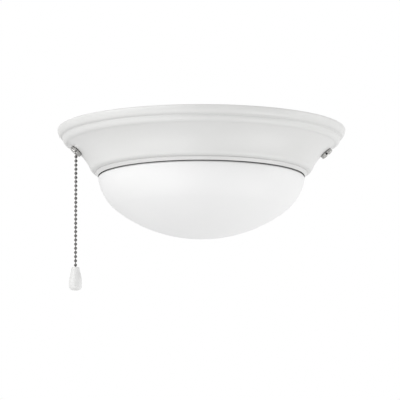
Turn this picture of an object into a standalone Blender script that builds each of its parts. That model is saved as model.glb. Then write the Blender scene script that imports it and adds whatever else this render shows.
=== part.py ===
"""Ceiling fan light kit: a beaded steel pan with a twist-lock opal bowl and a pull chain.

Metres, +Z up. The origin is the middle of the mounting plate's top face.
The pull-chain switch is on the -X side and the fan chain's guide on the +X side.
"""

import math

import bmesh
import bpy
from mathutils import Matrix, Vector

# Clearances
SEAT_GAP = 0.0003
CUT_OVERRUN = 0.002

# Smoothness of round pieces
PAN_STEPS = 48
SMALL_STEPS = 16
SCREW_STEPS = 10
BEAD_STEPS = 8
ARC_STEPS = 4
OUTER_SKIN_STEPS = (1, 3, 3, 4, 2, 2)
INNER_SKIN_STEPS = (1, 1, 1, 3, 1, 1)
WELD_DISTANCE = 0.00001

# Pan, one spun sheet from its rim to the wire hole in its floor
SHEET = 0.001
COLLAR_RADIUS = 0.1042
COLLAR_HEIGHT = 0.022
COLLAR_ROUND = 0.002
FLARE_WIDTH = 0.0418
RIM_RISE = 0.008
PAN_HEIGHT = 0.049
RIM_FLANGE = 0.0026
RIM_ROUND = 0.0015
RIM_BEAD_DEPTH = 0.005
RIM_BEAD_HEIGHT = 0.0082
GROOVE_STEP = 0.0008
OVOLO_RADIUS = 0.0055
COVE_RADIUS = 0.052
FOOT_WIDTH = 0.0088
FOOT_RISE = 0.0086
FOOT_ROUND = 0.007
CREASE_INSET = 0.0042
CREASE_DROP = 0.0044
LIP_BEAD = 0.0014
LIP_SPREAD = 0.0011
LIP_RISE = 0.0034
LIP_FALL = 50
LIP_TURN = 0.0006
WIRE_HOLE_RADIUS = 0.012

# Twist lock between the collar and the glass
LOCK_COUNT = 3
LOCK_TURN = math.radians(45)
DIMPLE_ANGLE = math.radians(90)
DIMPLE_RISE = 0.0065
DIMPLE_REACH = 0.0032
DIMPLE_BASE_RADIUS = 0.0022
DIMPLE_TIP_RADIUS = 0.0015
DIMPLE_STEPS = 12

# Glass bowl
GLASS_WALL = 0.003
GLASS_OVERHANG = 0.0010
GLASS_WIDEST_RISE = 0.005
GLASS_EDGE_DROP = 0.0026
GLASS_EDGE_ROUND = 0.002
GLASS_SHOULDER = 0.049
GLASS_DEPTH = 0.0627
GLASS_NECK_RISE = 0.0007
NECK_DIMPLE_GAP = 0.0005
FLANGE_COLLAR_GAP = 0.0005
FLANGE_THICKNESS = 0.0034
BOWL_RINGS = 4
SHOULDER_RINGS = 3

# Leaf springs on the glass flange, each held by a rivet
SPRING_LEAF = 0.0005
SPRING_WIDTH = 0.008
SPRING_ANGLE = math.radians(35)
SPRING_FOOT_LENGTH = 0.009
SPRING_RISER_LENGTH = 0.0079
SPRING_TIP_LENGTH = 0.002
SPRING_TIP_LIFT = 0.001
SPRING_FLANGE_INSET = 0.0028
RIVET_RADIUS = 0.0016
RIVET_HEAD_RADIUS = 0.003
RIVET_HEAD_HEIGHT = 0.0012

# Mounting plate, with a leg for each pan screw
PLATE_THICKNESS = 0.0016
PLATE_RADIUS = 0.056
KEYHOLE_CIRCLE_RADIUS = 0.038
KEYHOLE_COUNT = 3
KEYHOLE_ANGLE = math.radians(60)
KEYHOLE_HEAD_RADIUS = 0.0045
KEYHOLE_SLOT_RADIUS = 0.0025
KEYHOLE_SLOT_LENGTH = 0.009
PLATE_WIRE_HOLE_RADIUS = 0.009
PLATE_WIRE_HOLE_OFFSET = 0.020
LEG_COUNT = 3
LEG_ANGLE = math.radians(0)
LEG_INSET = 0.0016
LEG_WIDTH = 0.016
LEG_FOOT_LENGTH = 0.015
LEG_CORNER = 0.002
LEG_SCREW_REACH = 0.0091

# Pan screws and strap screws
SCREW_RADIUS = 0.002
SCREW_HEAD_RADIUS = 0.004
SCREW_HEAD_HEIGHT = 0.0024
SCREW_END_LENGTH = 0.0035

# Grommet in the pan's wire hole
GROMMET_BORE_RADIUS = 0.0095
GROMMET_LIP_RADIUS = 0.014
GROMMET_LIP_HEIGHT = 0.0014

# Strap under the floor, which carries both sockets
STRAP_THICKNESS = 0.0016
STRAP_HALF_WIDTH = 0.022
STRAP_ARM_WIDTH = 0.016
STRAP_HOLE_RADIUS = 0.0155
STRAP_SCREW_OFFSET = 0.028
STRAP_END_MARGIN = 0.002
EAR_BELOW_AXIS = 0.010

# Sockets, side by side and opposed
SOCKET_SPACING = 0.060
SOCKET_DROP = 0.007
SOCKET_BACK_OFFSET = 0.050
SOCKET_RADIUS = 0.016
SOCKET_LENGTH = 0.036
SOCKET_BACK_WALL = 0.007
SOCKET_BORE_RADIUS = 0.0144
SOCKET_EDGE = 0.001
SOCKET_SCREW_RADIUS = 0.0018
SOCKET_SCREW_HEAD_RADIUS = 0.0032
SOCKET_SCREW_HEAD_HEIGHT = 0.0018
SOCKET_SCREW_DEPTH = 0.005
SHELL_WALL = 0.0004
SHELL_GAP = 0.00035
CONTACT_THICKNESS = 0.0005
CONTACT_WIDTH = 0.005
CONTACT_FOOT_LENGTH = 0.004
CONTACT_LIFT = 0.0024

# Screw thread shared by the bulb caps and the socket shells
THREAD_RADIUS = 0.013
THREAD_DEPTH = 0.0007
THREAD_PITCH = 0.0036
THREAD_TURNS = 3
THREAD_START = 0.0055
THREAD_FLANK_SHARE = 0.25

# Bulbs, measured from the tip along their axis
TIP_RADIUS = 0.004
TIP_BASE_RADIUS = 0.0075
TIP_HEIGHT = 0.0027
CAP_BASE_RADIUS = 0.009
CAP_LENGTH = 0.0255
HOUSING_NECK_RADIUS = 0.0128
HOUSING_NECK_LENGTH = 0.003
HOUSING_RADIUS = 0.0225
HOUSING_LENGTH = 0.024
GLOBE_RADIUS = 0.024
GLOBE_BASE_RADIUS = 0.0226
GLOBE_WAIST_LENGTH = 0.012
GLOBE_DOME_LENGTH = 0.026
GLOBE_WALL = 0.0012

# Threaded necks through the flare, with a ring nut outside and a lock nut inside
NECK_RISE = 0.0263
NECK_RADIUS = 0.005
NECK_BORE_RADIUS = 0.0028
NECK_MOUTH_RADIUS = 0.0047
NECK_MOUTH_DEPTH = 0.0033
NECK_PROUD = 0.0002
RING_NUT_RADIUS = 0.0066
RING_NUT_THICKNESS = 0.0034
RING_NUT_STANDOFF = 0.00065
RING_NUT_ROUND = 0.0005
LOCK_NUT_WIDTH = 0.014
LOCK_NUT_THICKNESS = 0.0025
LOCK_NUT_STANDOFF = 0.0005
GUIDE_TAIL = 0.002

# Switch, measured inwards along its neck
SWITCH_RADIUS = 0.010
SWITCH_LENGTH = 0.0145
SWITCH_WALL = 0.0015
SWITCH_COVER_THICKNESS = 0.0015
NECK_FLANGE_RADIUS = 0.0064
NECK_FLANGE_THICKNESS = 0.001
PLUNGER_RADIUS = 0.0068
PLUNGER_THICKNESS = 0.0015
PLUNGER_ROD_RADIUS = 0.0009
PLUNGER_BACK_GAP = 0.0018
RETURN_SPRING_RADIUS = 0.0034
RETURN_SPRING_WIRE = 0.0003
RETURN_SPRING_TURNS = 4
RETURN_SPRING_TURN_POINTS = 7

# Ball chain and pull
BEAD_RADIUS = 0.0016
BEAD_PITCH = 0.00426
CHAIN_ROD_RADIUS = 0.00045
CHAIN_LIP_GAP = 0.00035
FIRST_BEAD_DROP = 0.0013
TOP_BEADS = 2
LENGTH_BEADS = (6, 6, 5, 5, 4)
PLUNGER_BEADS = 2
PULL_HEIGHT = 0.0235
PULL_RADIUS = 0.0066
PULL_TOP_RADIUS = 0.0041
PULL_TOP_ROUND = 0.0011
PULL_WIDEST_DROP = 0.0163
PULL_FOOT_RADIUS = 0.0064
PULL_FOOT_ROUND = 0.0041
PULL_FOOT_FLAT = 0.002
PULL_FLANK_SHARES = ((0.18, 0.19), (0.44, 0.58), (0.77, 0.92))
PULL_BEAD_GAP = 0.0007
PULL_HOLE_RADIUS = 0.0009
PULL_POCKET_GAP = 0.0005
PULL_POCKET_TURN = -60

# Leads and their connectors
LEAD_RADIUS = 0.0011
LEAD_HOLE_DEPTH = 0.004
LEAD_SPACING = 0.0055
LEAD_UNDER_DROP = 0.0055
LEAD_BEND = 0.004
LEAD_INLET_RADIUS = 0.0055
LEAD_BUNDLE_RADIUS = 0.0023
BUNDLE_TURN = math.radians(120)
LEAD_TUCK = 0.007
LEAD_RISE = 0.003
SWITCH_LEAD_OVER_INSET = 0.0062
SWITCH_LEAD_DOWN_INSET = 0.0222
CONNECTOR_LENGTH = 0.021
CONNECTOR_RADIUS = 0.0062
CONNECTOR_TIP_RADIUS = 0.004
CONNECTOR_BORE_RADIUS = 0.0046
CONNECTOR_BORE_DEPTH = 0.013
CONNECTOR_SCREW_GAP = 0.0025
SUPPLY_CONNECTOR_OFFSET = 0.014

# Heights and places that follow from the sizes above
RIM_RADIUS = COLLAR_RADIUS + FLARE_WIDTH
LIP_Z = RIM_RISE - PAN_HEIGHT
FLOOR_UNDER_Z = LIP_Z + COLLAR_HEIGHT
FLOOR_TOP_Z = FLOOR_UNDER_Z + SHEET
WIDEST_Z = RIM_RISE - RIM_ROUND
GROOVE_Z = WIDEST_Z - RIM_BEAD_HEIGHT
GROOVE_RADIUS = RIM_RADIUS - RIM_BEAD_DEPTH
COVE_HEAD = Vector((GROOVE_RADIUS - OVOLO_RADIUS, GROOVE_Z - GROOVE_STEP - OVOLO_RADIUS))
COVE_FOOT = Vector((COLLAR_RADIUS + FOOT_WIDTH, LIP_Z + FOOT_RISE))
CREASE = COVE_FOOT - Vector((CREASE_INSET, CREASE_DROP))
HEM_RADIUS = COLLAR_RADIUS + LIP_TURN
DIMPLE_Z = LIP_Z + DIMPLE_RISE
DIMPLE_END_RADIUS = COLLAR_RADIUS - DIMPLE_REACH
FLANGE_UNDER_Z = DIMPLE_Z + DIMPLE_BASE_RADIUS + SEAT_GAP
FLANGE_TOP_Z = FLANGE_UNDER_Z + FLANGE_THICKNESS
FLANGE_RADIUS = COLLAR_RADIUS - FLANGE_COLLAR_GAP
GLASS_RADIUS = COLLAR_RADIUS + GLASS_OVERHANG
GLASS_NECK_RADIUS = DIMPLE_END_RADIUS - NECK_DIMPLE_GAP
LEG_RADIUS = PLATE_RADIUS - LEG_INSET
SCREW_CIRCLE_RADIUS = LEG_RADIUS + LEG_SCREW_REACH
STRAP_TOP_Z = FLOOR_UNDER_Z - SEAT_GAP
CONNECTOR_REACH = STRAP_SCREW_OFFSET + SCREW_RADIUS + CONNECTOR_SCREW_GAP
SOCKET_Z = LIP_Z - SOCKET_DROP
TIP_STANDOFF = CONTACT_LIFT + CONTACT_THICKNESS
NUT_FACE = RING_NUT_STANDOFF + RING_NUT_THICKNESS
NECK_END = NUT_FACE + NECK_PROUD
LOCK_NUT_BACK = SHEET + LOCK_NUT_STANDOFF + LOCK_NUT_THICKNESS
SWITCH_FRONT = LOCK_NUT_BACK + SEAT_GAP

parts = bpy.data.collections.new("ceiling_fan_light_kit")
cutters = bpy.data.collections.new("cutters")


def clear_scene():
    for old in list(bpy.data.objects):
        bpy.data.objects.remove(old, do_unlink=True)
    bpy.context.scene.collection.children.link(parts)
    bpy.context.scene.collection.children.link(cutters)


def material(name, colour, roughness, metallic=0.0):
    made = bpy.data.materials.new(name)
    made.use_nodes = True
    shader = made.node_tree.nodes["Principled BSDF"]
    shader.inputs["Base Color"].default_value = (*colour, 1.0)
    shader.inputs["Roughness"].default_value = roughness
    shader.inputs["Metallic"].default_value = metallic
    made.diffuse_color = (*colour, 1.0)
    return made


def painted(piece, colour, roughness, metallic=0.0):
    """Each piece has a material of its own, named after it."""
    piece.data.materials.clear()
    piece.data.materials.append(material(piece.name, colour, roughness, metallic))
    return piece


def white_paint(piece):
    return painted(piece, (0.82, 0.82, 0.80), 0.35)


def zinc(piece):
    return painted(piece, (0.62, 0.63, 0.64), 0.35, 1.0)


def nickel(piece):
    return painted(piece, (0.66, 0.66, 0.67), 0.12, 1.0)


def brass(piece):
    return painted(piece, (0.78, 0.60, 0.28), 0.30, 1.0)


def phenolic(piece):
    return painted(piece, (0.05, 0.045, 0.04), 0.50)


def facing(location, direction):
    """A place at location with its +Z along direction."""
    return Matrix.Translation(location) @ direction.to_track_quat("Z", "Y").to_matrix().to_4x4()


def seat(name, location, direction):
    """An empty whose +Z points along direction, for pieces that share an axis."""
    made = bpy.data.objects.new(name, None)
    made.empty_display_size = PLATE_RADIUS
    made.matrix_world = facing(location, direction)
    parts.objects.link(made)
    return made


def placed(piece, parent=None, location=(0, 0, 0), turn=0.0):
    """Puts a piece at location, turned about Z, in its parent's axes."""
    piece.parent = parent
    piece.location = location
    piece.rotation_euler = (0, 0, turn)
    return piece


def linked(name, data, group=None):
    made = bpy.data.objects.new(name, data)
    (group or parts).objects.link(made)
    return made


def turned(name, profile, steps, closed=False):
    """A solid turned from (radius, height) points that run down its outer side."""
    mesh = bpy.data.meshes.new(name)
    points = []
    for spot in profile:
        if not points or math.dist(spot, points[-1]) > WELD_DISTANCE:
            points.append(spot)
    edges = [(i, i + 1) for i in range(len(points) - 1)]
    if closed:
        edges.append((len(points) - 1, 0))
    mesh.from_pydata([(r, 0, z) for r, z in points], edges, [])
    piece = linked(name, mesh)
    screw = piece.modifiers.new("turn", "SCREW")
    screw.axis = "Z"
    screw.angle = math.tau
    screw.steps = steps
    screw.render_steps = steps
    screw.use_merge_vertices = True
    screw.merge_threshold = WELD_DISTANCE
    screw.use_smooth_shade = True
    return piece


def arc(centre, radius, start, end, count=ARC_STEPS):
    """Points on an arc in the (radius, height) plane. radius is one value or (across, up)."""
    across, up = radius if isinstance(radius, tuple) else (radius, radius)
    points = []
    for i in range(count + 1):
        angle = math.radians(start + (end - start) * i / count)
        points.append((centre[0] + across * math.cos(angle), centre[1] + up * math.sin(angle)))
    return points


def arc_centre(start, end, radius):
    """The centre of the arc from start to end that has its centre on the right of that way."""
    middle = (start + end) / 2
    half = (end - start) / 2
    away = math.sqrt(radius**2 - half.length_squared)
    return middle + Vector((half.y, -half.x)).normalized() * away


def arc_points(centre, start, end, depth=0.0, count=ARC_STEPS):
    """Points on the arc round centre from start to end, moved off its circle by depth."""
    radius = (start - centre).length + depth
    first = math.atan2(start.y - centre.y, start.x - centre.x)
    sweep = math.atan2(end.y - centre.y, end.x - centre.x) - first
    sweep = (sweep + math.pi) % math.tau - math.pi
    points = []
    for i in range(count + 1):
        angle = first + sweep * i / count
        points.append((centre.x + radius * math.cos(angle), centre.y + radius * math.sin(angle)))
    return points


COVE_CENTRE = arc_centre(COVE_FOOT, COVE_HEAD, COVE_RADIUS)
NECK_SINE = (LIP_Z + NECK_RISE - COVE_CENTRE.y) / COVE_RADIUS
NECK_COSINE = math.sqrt(1 - NECK_SINE**2)
NECK_SEAT_RADIUS = COVE_CENTRE.x - COVE_RADIUS * NECK_COSINE


def strip(name, path, width, thickness):
    """A bent strip: path is its middle line in (x, z), and it lies across Y."""
    verts = [(x, side * width / 2, z) for x, z in path for side in (-1, 1)]
    faces = [(2 * i, 2 * i + 1, 2 * i + 3, 2 * i + 2) for i in range(len(path) - 1)]
    mesh = bpy.data.meshes.new(name)
    mesh.from_pydata(verts, [], faces)
    piece = linked(name, mesh)
    skin = piece.modifiers.new("thickness", "SOLIDIFY")
    skin.thickness = thickness
    skin.offset = 0
    skin.use_even_offset = True
    return piece


def around_circle(radius, steps):
    """The radius of a polygon's corners when the circle of that radius fits inside it."""
    return radius / math.cos(math.pi / steps)


def circle(centre, radius, steps):
    turns = [math.tau * i / steps for i in range(steps)]
    return [(centre[0] + radius * math.cos(a), centre[1] + radius * math.sin(a)) for a in turns]


def hole(centre, radius, steps=SMALL_STEPS):
    return circle(centre, around_circle(radius, steps), steps)


def flat_plate(name, outlines, thickness):
    """A plate lying under Z = 0, from closed (x, y) outlines: its edge first, and then its holes."""
    curve = bpy.data.curves.new(name + "_outline", "CURVE")
    curve.dimensions = "2D"
    curve.fill_mode = "BOTH"
    curve.extrude = thickness / 2
    for outline in outlines:
        spline = curve.splines.new("POLY")
        spline.points.add(len(outline) - 1)
        for point, (x, y) in zip(spline.points, outline):
            point.co = (x, y, 0, 1)
        spline.use_cyclic_u = True
    return meshed(linked(name, curve), Matrix.Translation((0, 0, -thickness / 2)))


def meshed(shape, shift=Matrix.Identity(4)):
    """A curve object made a mesh object of the same name, with its caps welded."""
    name = shape.name
    mesh = bpy.data.meshes.new_from_object(shape.evaluated_get(bpy.context.evaluated_depsgraph_get()))
    bpy.data.objects.remove(shape, do_unlink=True)
    mesh.transform(shift)
    welded = bmesh.new()
    welded.from_mesh(mesh)
    bmesh.ops.remove_doubles(welded, verts=welded.verts, dist=WELD_DISTANCE)
    welded.to_mesh(mesh)
    welded.free()
    mesh.name = name
    return linked(name, mesh)


def wire(name, points, radius, resolution):
    """A round wire through points, with filled ends."""
    curve = bpy.data.curves.new(name, "CURVE")
    curve.dimensions = "3D"
    curve.bevel_depth = radius
    curve.bevel_resolution = resolution
    curve.use_fill_caps = True
    spline = curve.splines.new("POLY")
    spline.points.add(len(points) - 1)
    for point, place in zip(spline.points, points):
        point.co = (*place, 1)
    return linked(name, curve)


def combined(target, tool, operation):
    """Cuts target by tool, or joins tool to it, with tool kept in the cutters' collection."""
    if tool.name not in cutters.objects:
        parts.objects.unlink(tool)
        cutters.objects.link(tool)
    tool.hide_render = True
    tool.display_type = "WIRE"
    change = target.modifiers.new(operation.lower(), "BOOLEAN")
    change.operation = operation
    change.solver = "EXACT"
    change.object = tool
    return target


def drilled(target, name, holes, steps=SCREW_STEPS):
    """Cuts round holes, each (place, direction, radius, half its length), in one go."""
    shape = bmesh.new()
    for place, direction, radius, half in holes:
        wide = around_circle(radius, steps)
        bmesh.ops.create_cone(
            shape,
            cap_ends=True,
            segments=steps,
            radius1=wide,
            radius2=wide,
            depth=2 * half,
            matrix=facing(place, direction),
        )
    mesh = bpy.data.meshes.new(name)
    shape.to_mesh(mesh)
    shape.free()
    return combined(target, linked(name, mesh, cutters), "DIFFERENCE")


def around(radius, angle, z):
    return Vector((radius * math.cos(angle), radius * math.sin(angle), z))


def angles(count, first):
    return [first + math.tau * i / count for i in range(count)]


UP = Vector((0, 0, 1))


def pan_skin(depth, counts):
    """The pan's sheet at a depth under its outer skin, from the rim's flange to the wire hole."""
    rim, bead, ovolo, cove, foot, lip = counts
    crown = (RIM_RADIUS - RIM_ROUND, WIDEST_Z)
    points = [(crown[0] - RIM_FLANGE, RIM_RISE - depth)]
    points += arc(crown, RIM_ROUND - depth, 90, 0, rim)
    bead_size = (RIM_BEAD_DEPTH - depth, RIM_BEAD_HEIGHT - depth)
    points += arc((GROOVE_RADIUS, WIDEST_Z), bead_size, 0, -90, bead)
    points.append((GROOVE_RADIUS - depth, GROOVE_Z + depth))
    points += arc((COVE_HEAD.x, COVE_HEAD.y + OVOLO_RADIUS), OVOLO_RADIUS - depth, 0, -90, ovolo)
    points += arc_points(COVE_CENTRE, COVE_HEAD, COVE_FOOT, depth, cove)
    points += arc_points(arc_centre(COVE_FOOT, CREASE, FOOT_ROUND), COVE_FOOT, CREASE, -depth, foot)
    points += arc((HEM_RADIUS + LIP_SPREAD, LIP_Z + LIP_RISE), LIP_BEAD - depth, LIP_FALL, -LIP_FALL, lip)
    if depth:
        inner = COLLAR_RADIUS + depth
        fall = (points[-1][0] - inner) / math.tan(math.radians(LIP_FALL))
        points.append((inner, points[-1][1] - fall))
    else:
        points += arc((HEM_RADIUS, LIP_Z + LIP_TURN), LIP_TURN, -90, -180, 1)
    inner_corner = (COLLAR_RADIUS - COLLAR_ROUND, FLOOR_UNDER_Z - COLLAR_ROUND)
    points += arc(inner_corner, COLLAR_ROUND + depth, 0, 90, 1)
    points.append((WIRE_HOLE_RADIUS, FLOOR_UNDER_Z + depth))
    return points


def make_pan():
    outside = pan_skin(0, OUTER_SKIN_STEPS)
    inside = pan_skin(SHEET, INNER_SKIN_STEPS)
    pan = turned("fitter_pan", outside + inside[::-1], PAN_STEPS, closed=True)
    dimples = dimple_studs()
    combined(pan, dimples, "UNION")
    holes = []
    for side in (-1, 1):
        place, direction = neck_seat(side)
        holes.append((place, direction, NECK_RADIUS + SEAT_GAP, SHEET + CUT_OVERRUN))
    reach = SHEET + CUT_OVERRUN
    for angle in angles(LEG_COUNT, LEG_ANGLE):
        place = around(SCREW_CIRCLE_RADIUS, angle, FLOOR_UNDER_Z)
        holes.append((place, UP, SCREW_RADIUS + SEAT_GAP, reach))
    for side in (-1, 1):
        place = Vector((0, side * STRAP_SCREW_OFFSET, FLOOR_UNDER_Z))
        holes.append((place, UP, SCREW_RADIUS + SEAT_GAP, reach))
    for angle in angles(LOCK_COUNT, SPRING_ANGLE):
        place = around(rivet_circle_radius(), angle, FLOOR_UNDER_Z)
        holes.append((place, UP, RIVET_RADIUS + SEAT_GAP, reach))
    drilled(pan, "fitter_pan_holes", holes)
    white_paint(pan)


def dimple_studs():
    """Short tapered studs pressed inwards from the collar, which the glass flange rests on."""
    shape = bmesh.new()
    length = DIMPLE_REACH + SHEET / 2
    for angle in angles(LOCK_COUNT, DIMPLE_ANGLE):
        place = around(DIMPLE_END_RADIUS + length / 2, angle, DIMPLE_Z)
        frame = facing(place, around(-1, angle, 0))
        bmesh.ops.create_cone(
            shape,
            cap_ends=True,
            segments=DIMPLE_STEPS,
            radius1=DIMPLE_BASE_RADIUS,
            radius2=DIMPLE_TIP_RADIUS,
            depth=length,
            matrix=frame,
        )
    mesh = bpy.data.meshes.new("collar_dimples")
    shape.to_mesh(mesh)
    shape.free()
    return linked("collar_dimples", mesh, cutters)


def neck_seat(side):
    """Where a neck's axis leaves the cove's outer skin, and its outward direction."""
    place = Vector((side * NECK_SEAT_RADIUS, 0, LIP_Z + NECK_RISE))
    return place, Vector((side * NECK_COSINE, 0, -NECK_SINE))


def rivet_circle_radius():
    return spring_start_radius() + SPRING_FOOT_LENGTH / 2


def spring_start_radius():
    return FLANGE_RADIUS - SPRING_FLANGE_INSET - SPRING_RISER_LENGTH - SPRING_FOOT_LENGTH


def make_glass():
    """Opal bowl: a ball's cap, a rounded shoulder, a neck and a flange with three flats."""
    widest_z = LIP_Z + GLASS_WIDEST_RISE
    edge_z = LIP_Z - GLASS_EDGE_DROP
    depth = GLASS_DEPTH + GLASS_WIDEST_RISE
    shoulder_x = GLASS_RADIUS - GLASS_SHOULDER
    ball = (shoulder_x**2 + depth**2 - GLASS_SHOULDER**2) / (2 * (depth - GLASS_SHOULDER))
    ball_z = LIP_Z - GLASS_DEPTH + ball
    meet = math.degrees(math.atan2(ball_z - widest_z, shoulder_x))

    def side_points(wall):
        """The visible side starts below the widest height, which the pan's lip hides."""
        level = edge_z + GLASS_EDGE_ROUND - wall if wall else edge_z
        first = -math.asin((widest_z - level) / (GLASS_SHOULDER - wall))
        points = [(GLASS_NECK_RADIUS - wall, LIP_Z + GLASS_NECK_RISE)]
        if wall:
            points.append((GLASS_NECK_RADIUS - wall, level))
        else:
            reach = GLASS_SHOULDER - GLASS_EDGE_ROUND
            edge = (shoulder_x + reach * math.cos(first), widest_z + reach * math.sin(first))
            points += arc(edge, GLASS_EDGE_ROUND, 90, math.degrees(first), 2)[:-1]
        points += arc((shoulder_x, widest_z), GLASS_SHOULDER - wall, math.degrees(first), -meet, SHOULDER_RINGS)
        points += arc((0, ball_z), ball - wall, -meet, -90, BOWL_RINGS)[1:]
        points[-1] = (0, points[-1][1])
        return points

    inner = [(GLASS_NECK_RADIUS - GLASS_WALL, FLANGE_TOP_Z)] + side_points(GLASS_WALL)
    outer = [(FLANGE_RADIUS, FLANGE_TOP_Z), (FLANGE_RADIUS, FLANGE_UNDER_Z)]
    outer += [(GLASS_NECK_RADIUS, FLANGE_UNDER_Z)] + side_points(0)
    bowl = turned("glass_bowl", inner[::-1] + outer, PAN_STEPS)
    combined(bowl, flange_flats(), "DIFFERENCE")
    painted(bowl, (0.90, 0.90, 0.90), 0.25)


def flange_flats():
    """Blocks that cut the flange back so that it passes the dimples when it is turned to them."""
    shape = bmesh.new()
    flat_radius = DIMPLE_END_RADIUS - SEAT_GAP
    deep = FLANGE_RADIUS - flat_radius + CUT_OVERRUN
    wide = 2 * math.sqrt(FLANGE_RADIUS**2 - flat_radius**2) + CUT_OVERRUN
    tall = FLANGE_THICKNESS + 2 * CUT_OVERRUN
    height = (FLANGE_UNDER_Z + FLANGE_TOP_Z) / 2
    for angle in angles(LOCK_COUNT, DIMPLE_ANGLE + LOCK_TURN):
        frame = Matrix.Translation(around(flat_radius + deep / 2, angle, height))
        frame @= Matrix.Rotation(angle, 4, "Z") @ Matrix.Diagonal((deep, wide, tall, 1))
        bmesh.ops.create_cube(shape, size=1, matrix=frame)
    mesh = bpy.data.meshes.new("flange_flats")
    shape.to_mesh(mesh)
    shape.free()
    return linked("flange_flats", mesh, cutters)


def headed_pin(name, head_radius, head_height, shank_radius, shank_length):
    """A screw whose head is under Z = 0 and whose shank rises from there."""
    crown = head_height / 4
    profile = [
        (0, shank_length),
        (shank_radius, shank_length),
        (shank_radius, 0),
        (head_radius, 0),
        (head_radius, crown - head_height),
        (head_radius - crown, -head_height),
        (0, -head_height),
    ]
    return turned(name, profile, SCREW_STEPS)


def round_screw(name, length):
    return headed_pin(name, SCREW_HEAD_RADIUS, SCREW_HEAD_HEIGHT, SCREW_RADIUS, length)


def make_springs():
    """Leaf springs riveted under the floor, which press on the glass flange."""
    start = spring_start_radius()
    bend = start + SPRING_FOOT_LENGTH
    touch = bend + SPRING_RISER_LENGTH
    foot_z = FLOOR_UNDER_Z - SEAT_GAP - SPRING_LEAF / 2
    touch_z = FLANGE_TOP_Z + SEAT_GAP + SPRING_LEAF
    path = [(start, foot_z), (bend, foot_z), (touch, touch_z)]
    path.append((touch + SPRING_TIP_LENGTH, touch_z + SPRING_TIP_LIFT))
    grip = SHEET + SPRING_LEAF + 3 * SEAT_GAP
    for number, angle in enumerate(angles(LOCK_COUNT, SPRING_ANGLE), 1):
        spring = strip(f"glass_spring_{number}", path, SPRING_WIDTH, SPRING_LEAF)
        placed(spring, turn=angle)
        place = Vector((rivet_circle_radius(), 0, foot_z))
        cutter_name = f"glass_spring_{number}_hole"
        eye = (place, UP, RIVET_RADIUS + SEAT_GAP, SPRING_LEAF + CUT_OVERRUN)
        drilled(spring, cutter_name, [eye], BEAD_STEPS)
        bpy.data.objects[cutter_name].rotation_euler.z = angle
        painted(spring, (0.55, 0.56, 0.58), 0.3, 1.0)
        profile = [
            (0, grip + RIVET_HEAD_HEIGHT),
            (RIVET_HEAD_RADIUS / 2, grip + RIVET_HEAD_HEIGHT),
            (RIVET_HEAD_RADIUS, grip),
            (RIVET_RADIUS, grip),
            (RIVET_RADIUS, 0),
            (RIVET_HEAD_RADIUS, 0),
            (RIVET_HEAD_RADIUS / 2, -RIVET_HEAD_HEIGHT),
            (0, -RIVET_HEAD_HEIGHT),
        ]
        rivet = turned(f"spring_rivet_{number}", profile, BEAD_STEPS)
        under = foot_z - SPRING_LEAF / 2 - SEAT_GAP
        placed(rivet, location=around(rivet_circle_radius(), angle, under))
        zinc(rivet)


def keyhole(angle):
    """A keyhole's outline: a head, and a narrow slot that runs round the plate from it."""
    half = KEYHOLE_SLOT_RADIUS
    join = math.sqrt(KEYHOLE_HEAD_RADIUS**2 - half**2)
    opening = math.degrees(math.atan2(half, join))
    outline = arc((0, 0), KEYHOLE_HEAD_RADIUS, opening + 90, 450 - opening, 8)
    outline += arc((0, KEYHOLE_SLOT_LENGTH), half, 0, 180)
    turn = Matrix.Rotation(angle, 2)
    return [tuple(turn @ Vector((x + KEYHOLE_CIRCLE_RADIUS, y))) for x, y in outline]


def make_plate():
    """Stamped plate on the fan, with keyholes for its screws and a leg down to each pan screw."""
    outlines = [circle((0, 0), PLATE_RADIUS, 2 * SMALL_STEPS)]
    outlines.append(hole((-PLATE_WIRE_HOLE_OFFSET, 0), PLATE_WIRE_HOLE_RADIUS))
    outlines += [keyhole(angle) for angle in angles(KEYHOLE_COUNT, KEYHOLE_ANGLE)]
    plate = flat_plate("mounting_plate", outlines, PLATE_THICKNESS)
    half = PLATE_THICKNESS / 2
    foot_z = FLOOR_TOP_Z + SEAT_GAP + half
    path = [
        (LEG_RADIUS, -half),
        (LEG_RADIUS, foot_z + LEG_CORNER),
        (LEG_RADIUS + LEG_CORNER / 2, foot_z + LEG_CORNER / 4),
        (LEG_RADIUS + LEG_CORNER, foot_z),
        (LEG_RADIUS + LEG_FOOT_LENGTH, foot_z),
    ]
    holes = []
    for number, angle in enumerate(angles(LEG_COUNT, LEG_ANGLE), 1):
        leg = placed(strip(f"plate_leg_{number}", path, LEG_WIDTH, PLATE_THICKNESS), turn=angle)
        combined(plate, leg, "UNION")
        place = around(SCREW_CIRCLE_RADIUS, angle, foot_z)
        holes.append((place, UP, SCREW_RADIUS + SEAT_GAP, PLATE_THICKNESS + CUT_OVERRUN))
    drilled(plate, "plate_foot_holes", holes)
    zinc(plate)


def make_screws():
    """Pan screws into the plate's feet, and strap screws into the floor, all from below."""
    head_z = FLOOR_UNDER_Z - SEAT_GAP
    grip = SHEET + 2 * SEAT_GAP
    for number, angle in enumerate(angles(LEG_COUNT, LEG_ANGLE), 1):
        length = grip + PLATE_THICKNESS + SCREW_END_LENGTH
        screw = round_screw(f"pan_screw_{number}", length)
        zinc(placed(screw, location=around(SCREW_CIRCLE_RADIUS, angle, head_z)))
    for number, side in enumerate((-1, 1), 1):
        length = grip + STRAP_THICKNESS + SCREW_END_LENGTH
        screw = round_screw(f"strap_screw_{number}", length)
        below = STRAP_TOP_Z - STRAP_THICKNESS - SEAT_GAP
        zinc(placed(screw, location=(0, side * STRAP_SCREW_OFFSET, below)))


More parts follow.
